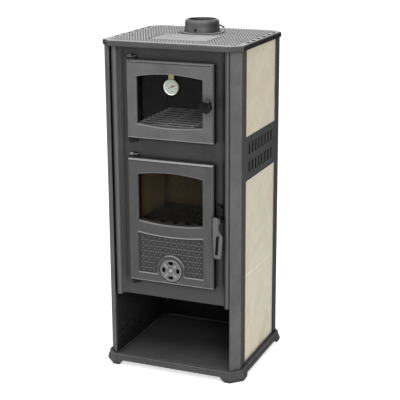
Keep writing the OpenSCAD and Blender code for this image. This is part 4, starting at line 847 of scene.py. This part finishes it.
def seenRays(tree):
    # one for camera, glossy and transmission rays, which see the pale background itself
    rays = addNode(tree, "LightPath").node.outputs
    seen = rays["Is Camera Ray"]
    for kind in ("Is Glossy Ray", "Is Transmission Ray"):
        seen = addNode(tree, "Math", (seen, rays[kind]), operation="MAXIMUM")
    return seen


def makeStudio():
    look = studioLook
    world = bpy.data.worlds.new("paleStudio")
    bpy.context.scene.world = world
    world.use_nodes = True
    tree = world.node_tree
    tree.nodes.clear()
    strength = addNode(tree, "MapRange", (seenRays(tree), 0.0, 1.0, look["sky"], 1.0))
    addNode(tree, "OutputWorld", (addNode(tree, "Background", {"Color": "#ffffff", "Strength": strength}),))

    side = look["floorSide"] / 2
    mesh = bpy.data.meshes.new("studioFloor")
    mesh.from_pydata([(-side, -side, 0), (side, -side, 0), (side, side, 0), (-side, side, 0)], [], [(0, 1, 2, 3)])
    material, tree, place = newMaterial("paleStudioFloor")
    away = addNode(tree, "VectorMath", (place,), "Value", operation="LENGTH")
    glow = shareOf(tree, place, [(away, *look["glowRun"], *look["floorGlow"]), seenRays(tree)])
    shader = addNode(tree, "BsdfPrincipled", {"Base Color": look["floorColour"], "Roughness": 0.9,
                                              "Specular IOR Level": 0.1, "Emission Color": "#ffffff",
                                              "Emission Strength": glow})
    addNode(tree, "OutputMaterial", (shader,))
    mesh.materials.append(material)
    addObject("studioFloor", mesh)

    for name in ("overLamp", "keyLamp", "fillLamp"):
        spot, power, size = look[name]
        lamp = bpy.data.lights.new(name, "AREA")
        lamp.energy, lamp.size = power, size
        turn = (Vector(look["aim"]) - Vector(spot)).to_track_quat("-Z", "Y")
        addObject(name, lamp).matrix_world = Matrix.Translation(spot) @ turn.to_matrix().to_4x4()


makeStudio()

# The camera of the photograph, solved from the stove's edges in it.
cameraLook = {"place": (1.42083, -3.39151, 1.61776), "toward": (-0.36696, 0.88817, -0.27659), "roll": -0.005029,
              "lens": 99.36, "sensor": 36, "farEnd": 300}


def makeCamera():
    look = cameraLook
    view = bpy.data.cameras.new("photoCamera")
    view.lens, view.sensor_width, view.clip_end = look["lens"], look["sensor"], look["farEnd"]
    camera = addObject("photoCamera", view)
    toward = Vector(look["toward"]).normalized()
    right = toward.cross(Vector((0, 0, 1))).normalized()
    up = right.cross(toward)
    c, s = np.cos(look["roll"]), np.sin(look["roll"])
    right, up = right * c + up * s, up * c - right * s
    camera.matrix_world = Matrix.Translation(look["place"]) @ Matrix((right, up, -toward)).transposed().to_4x4()
    bpy.context.scene.camera = camera


makeCamera()
bpy.context.scene.view_settings.view_transform = "Standard"
print("stage 5: studio and camera set")
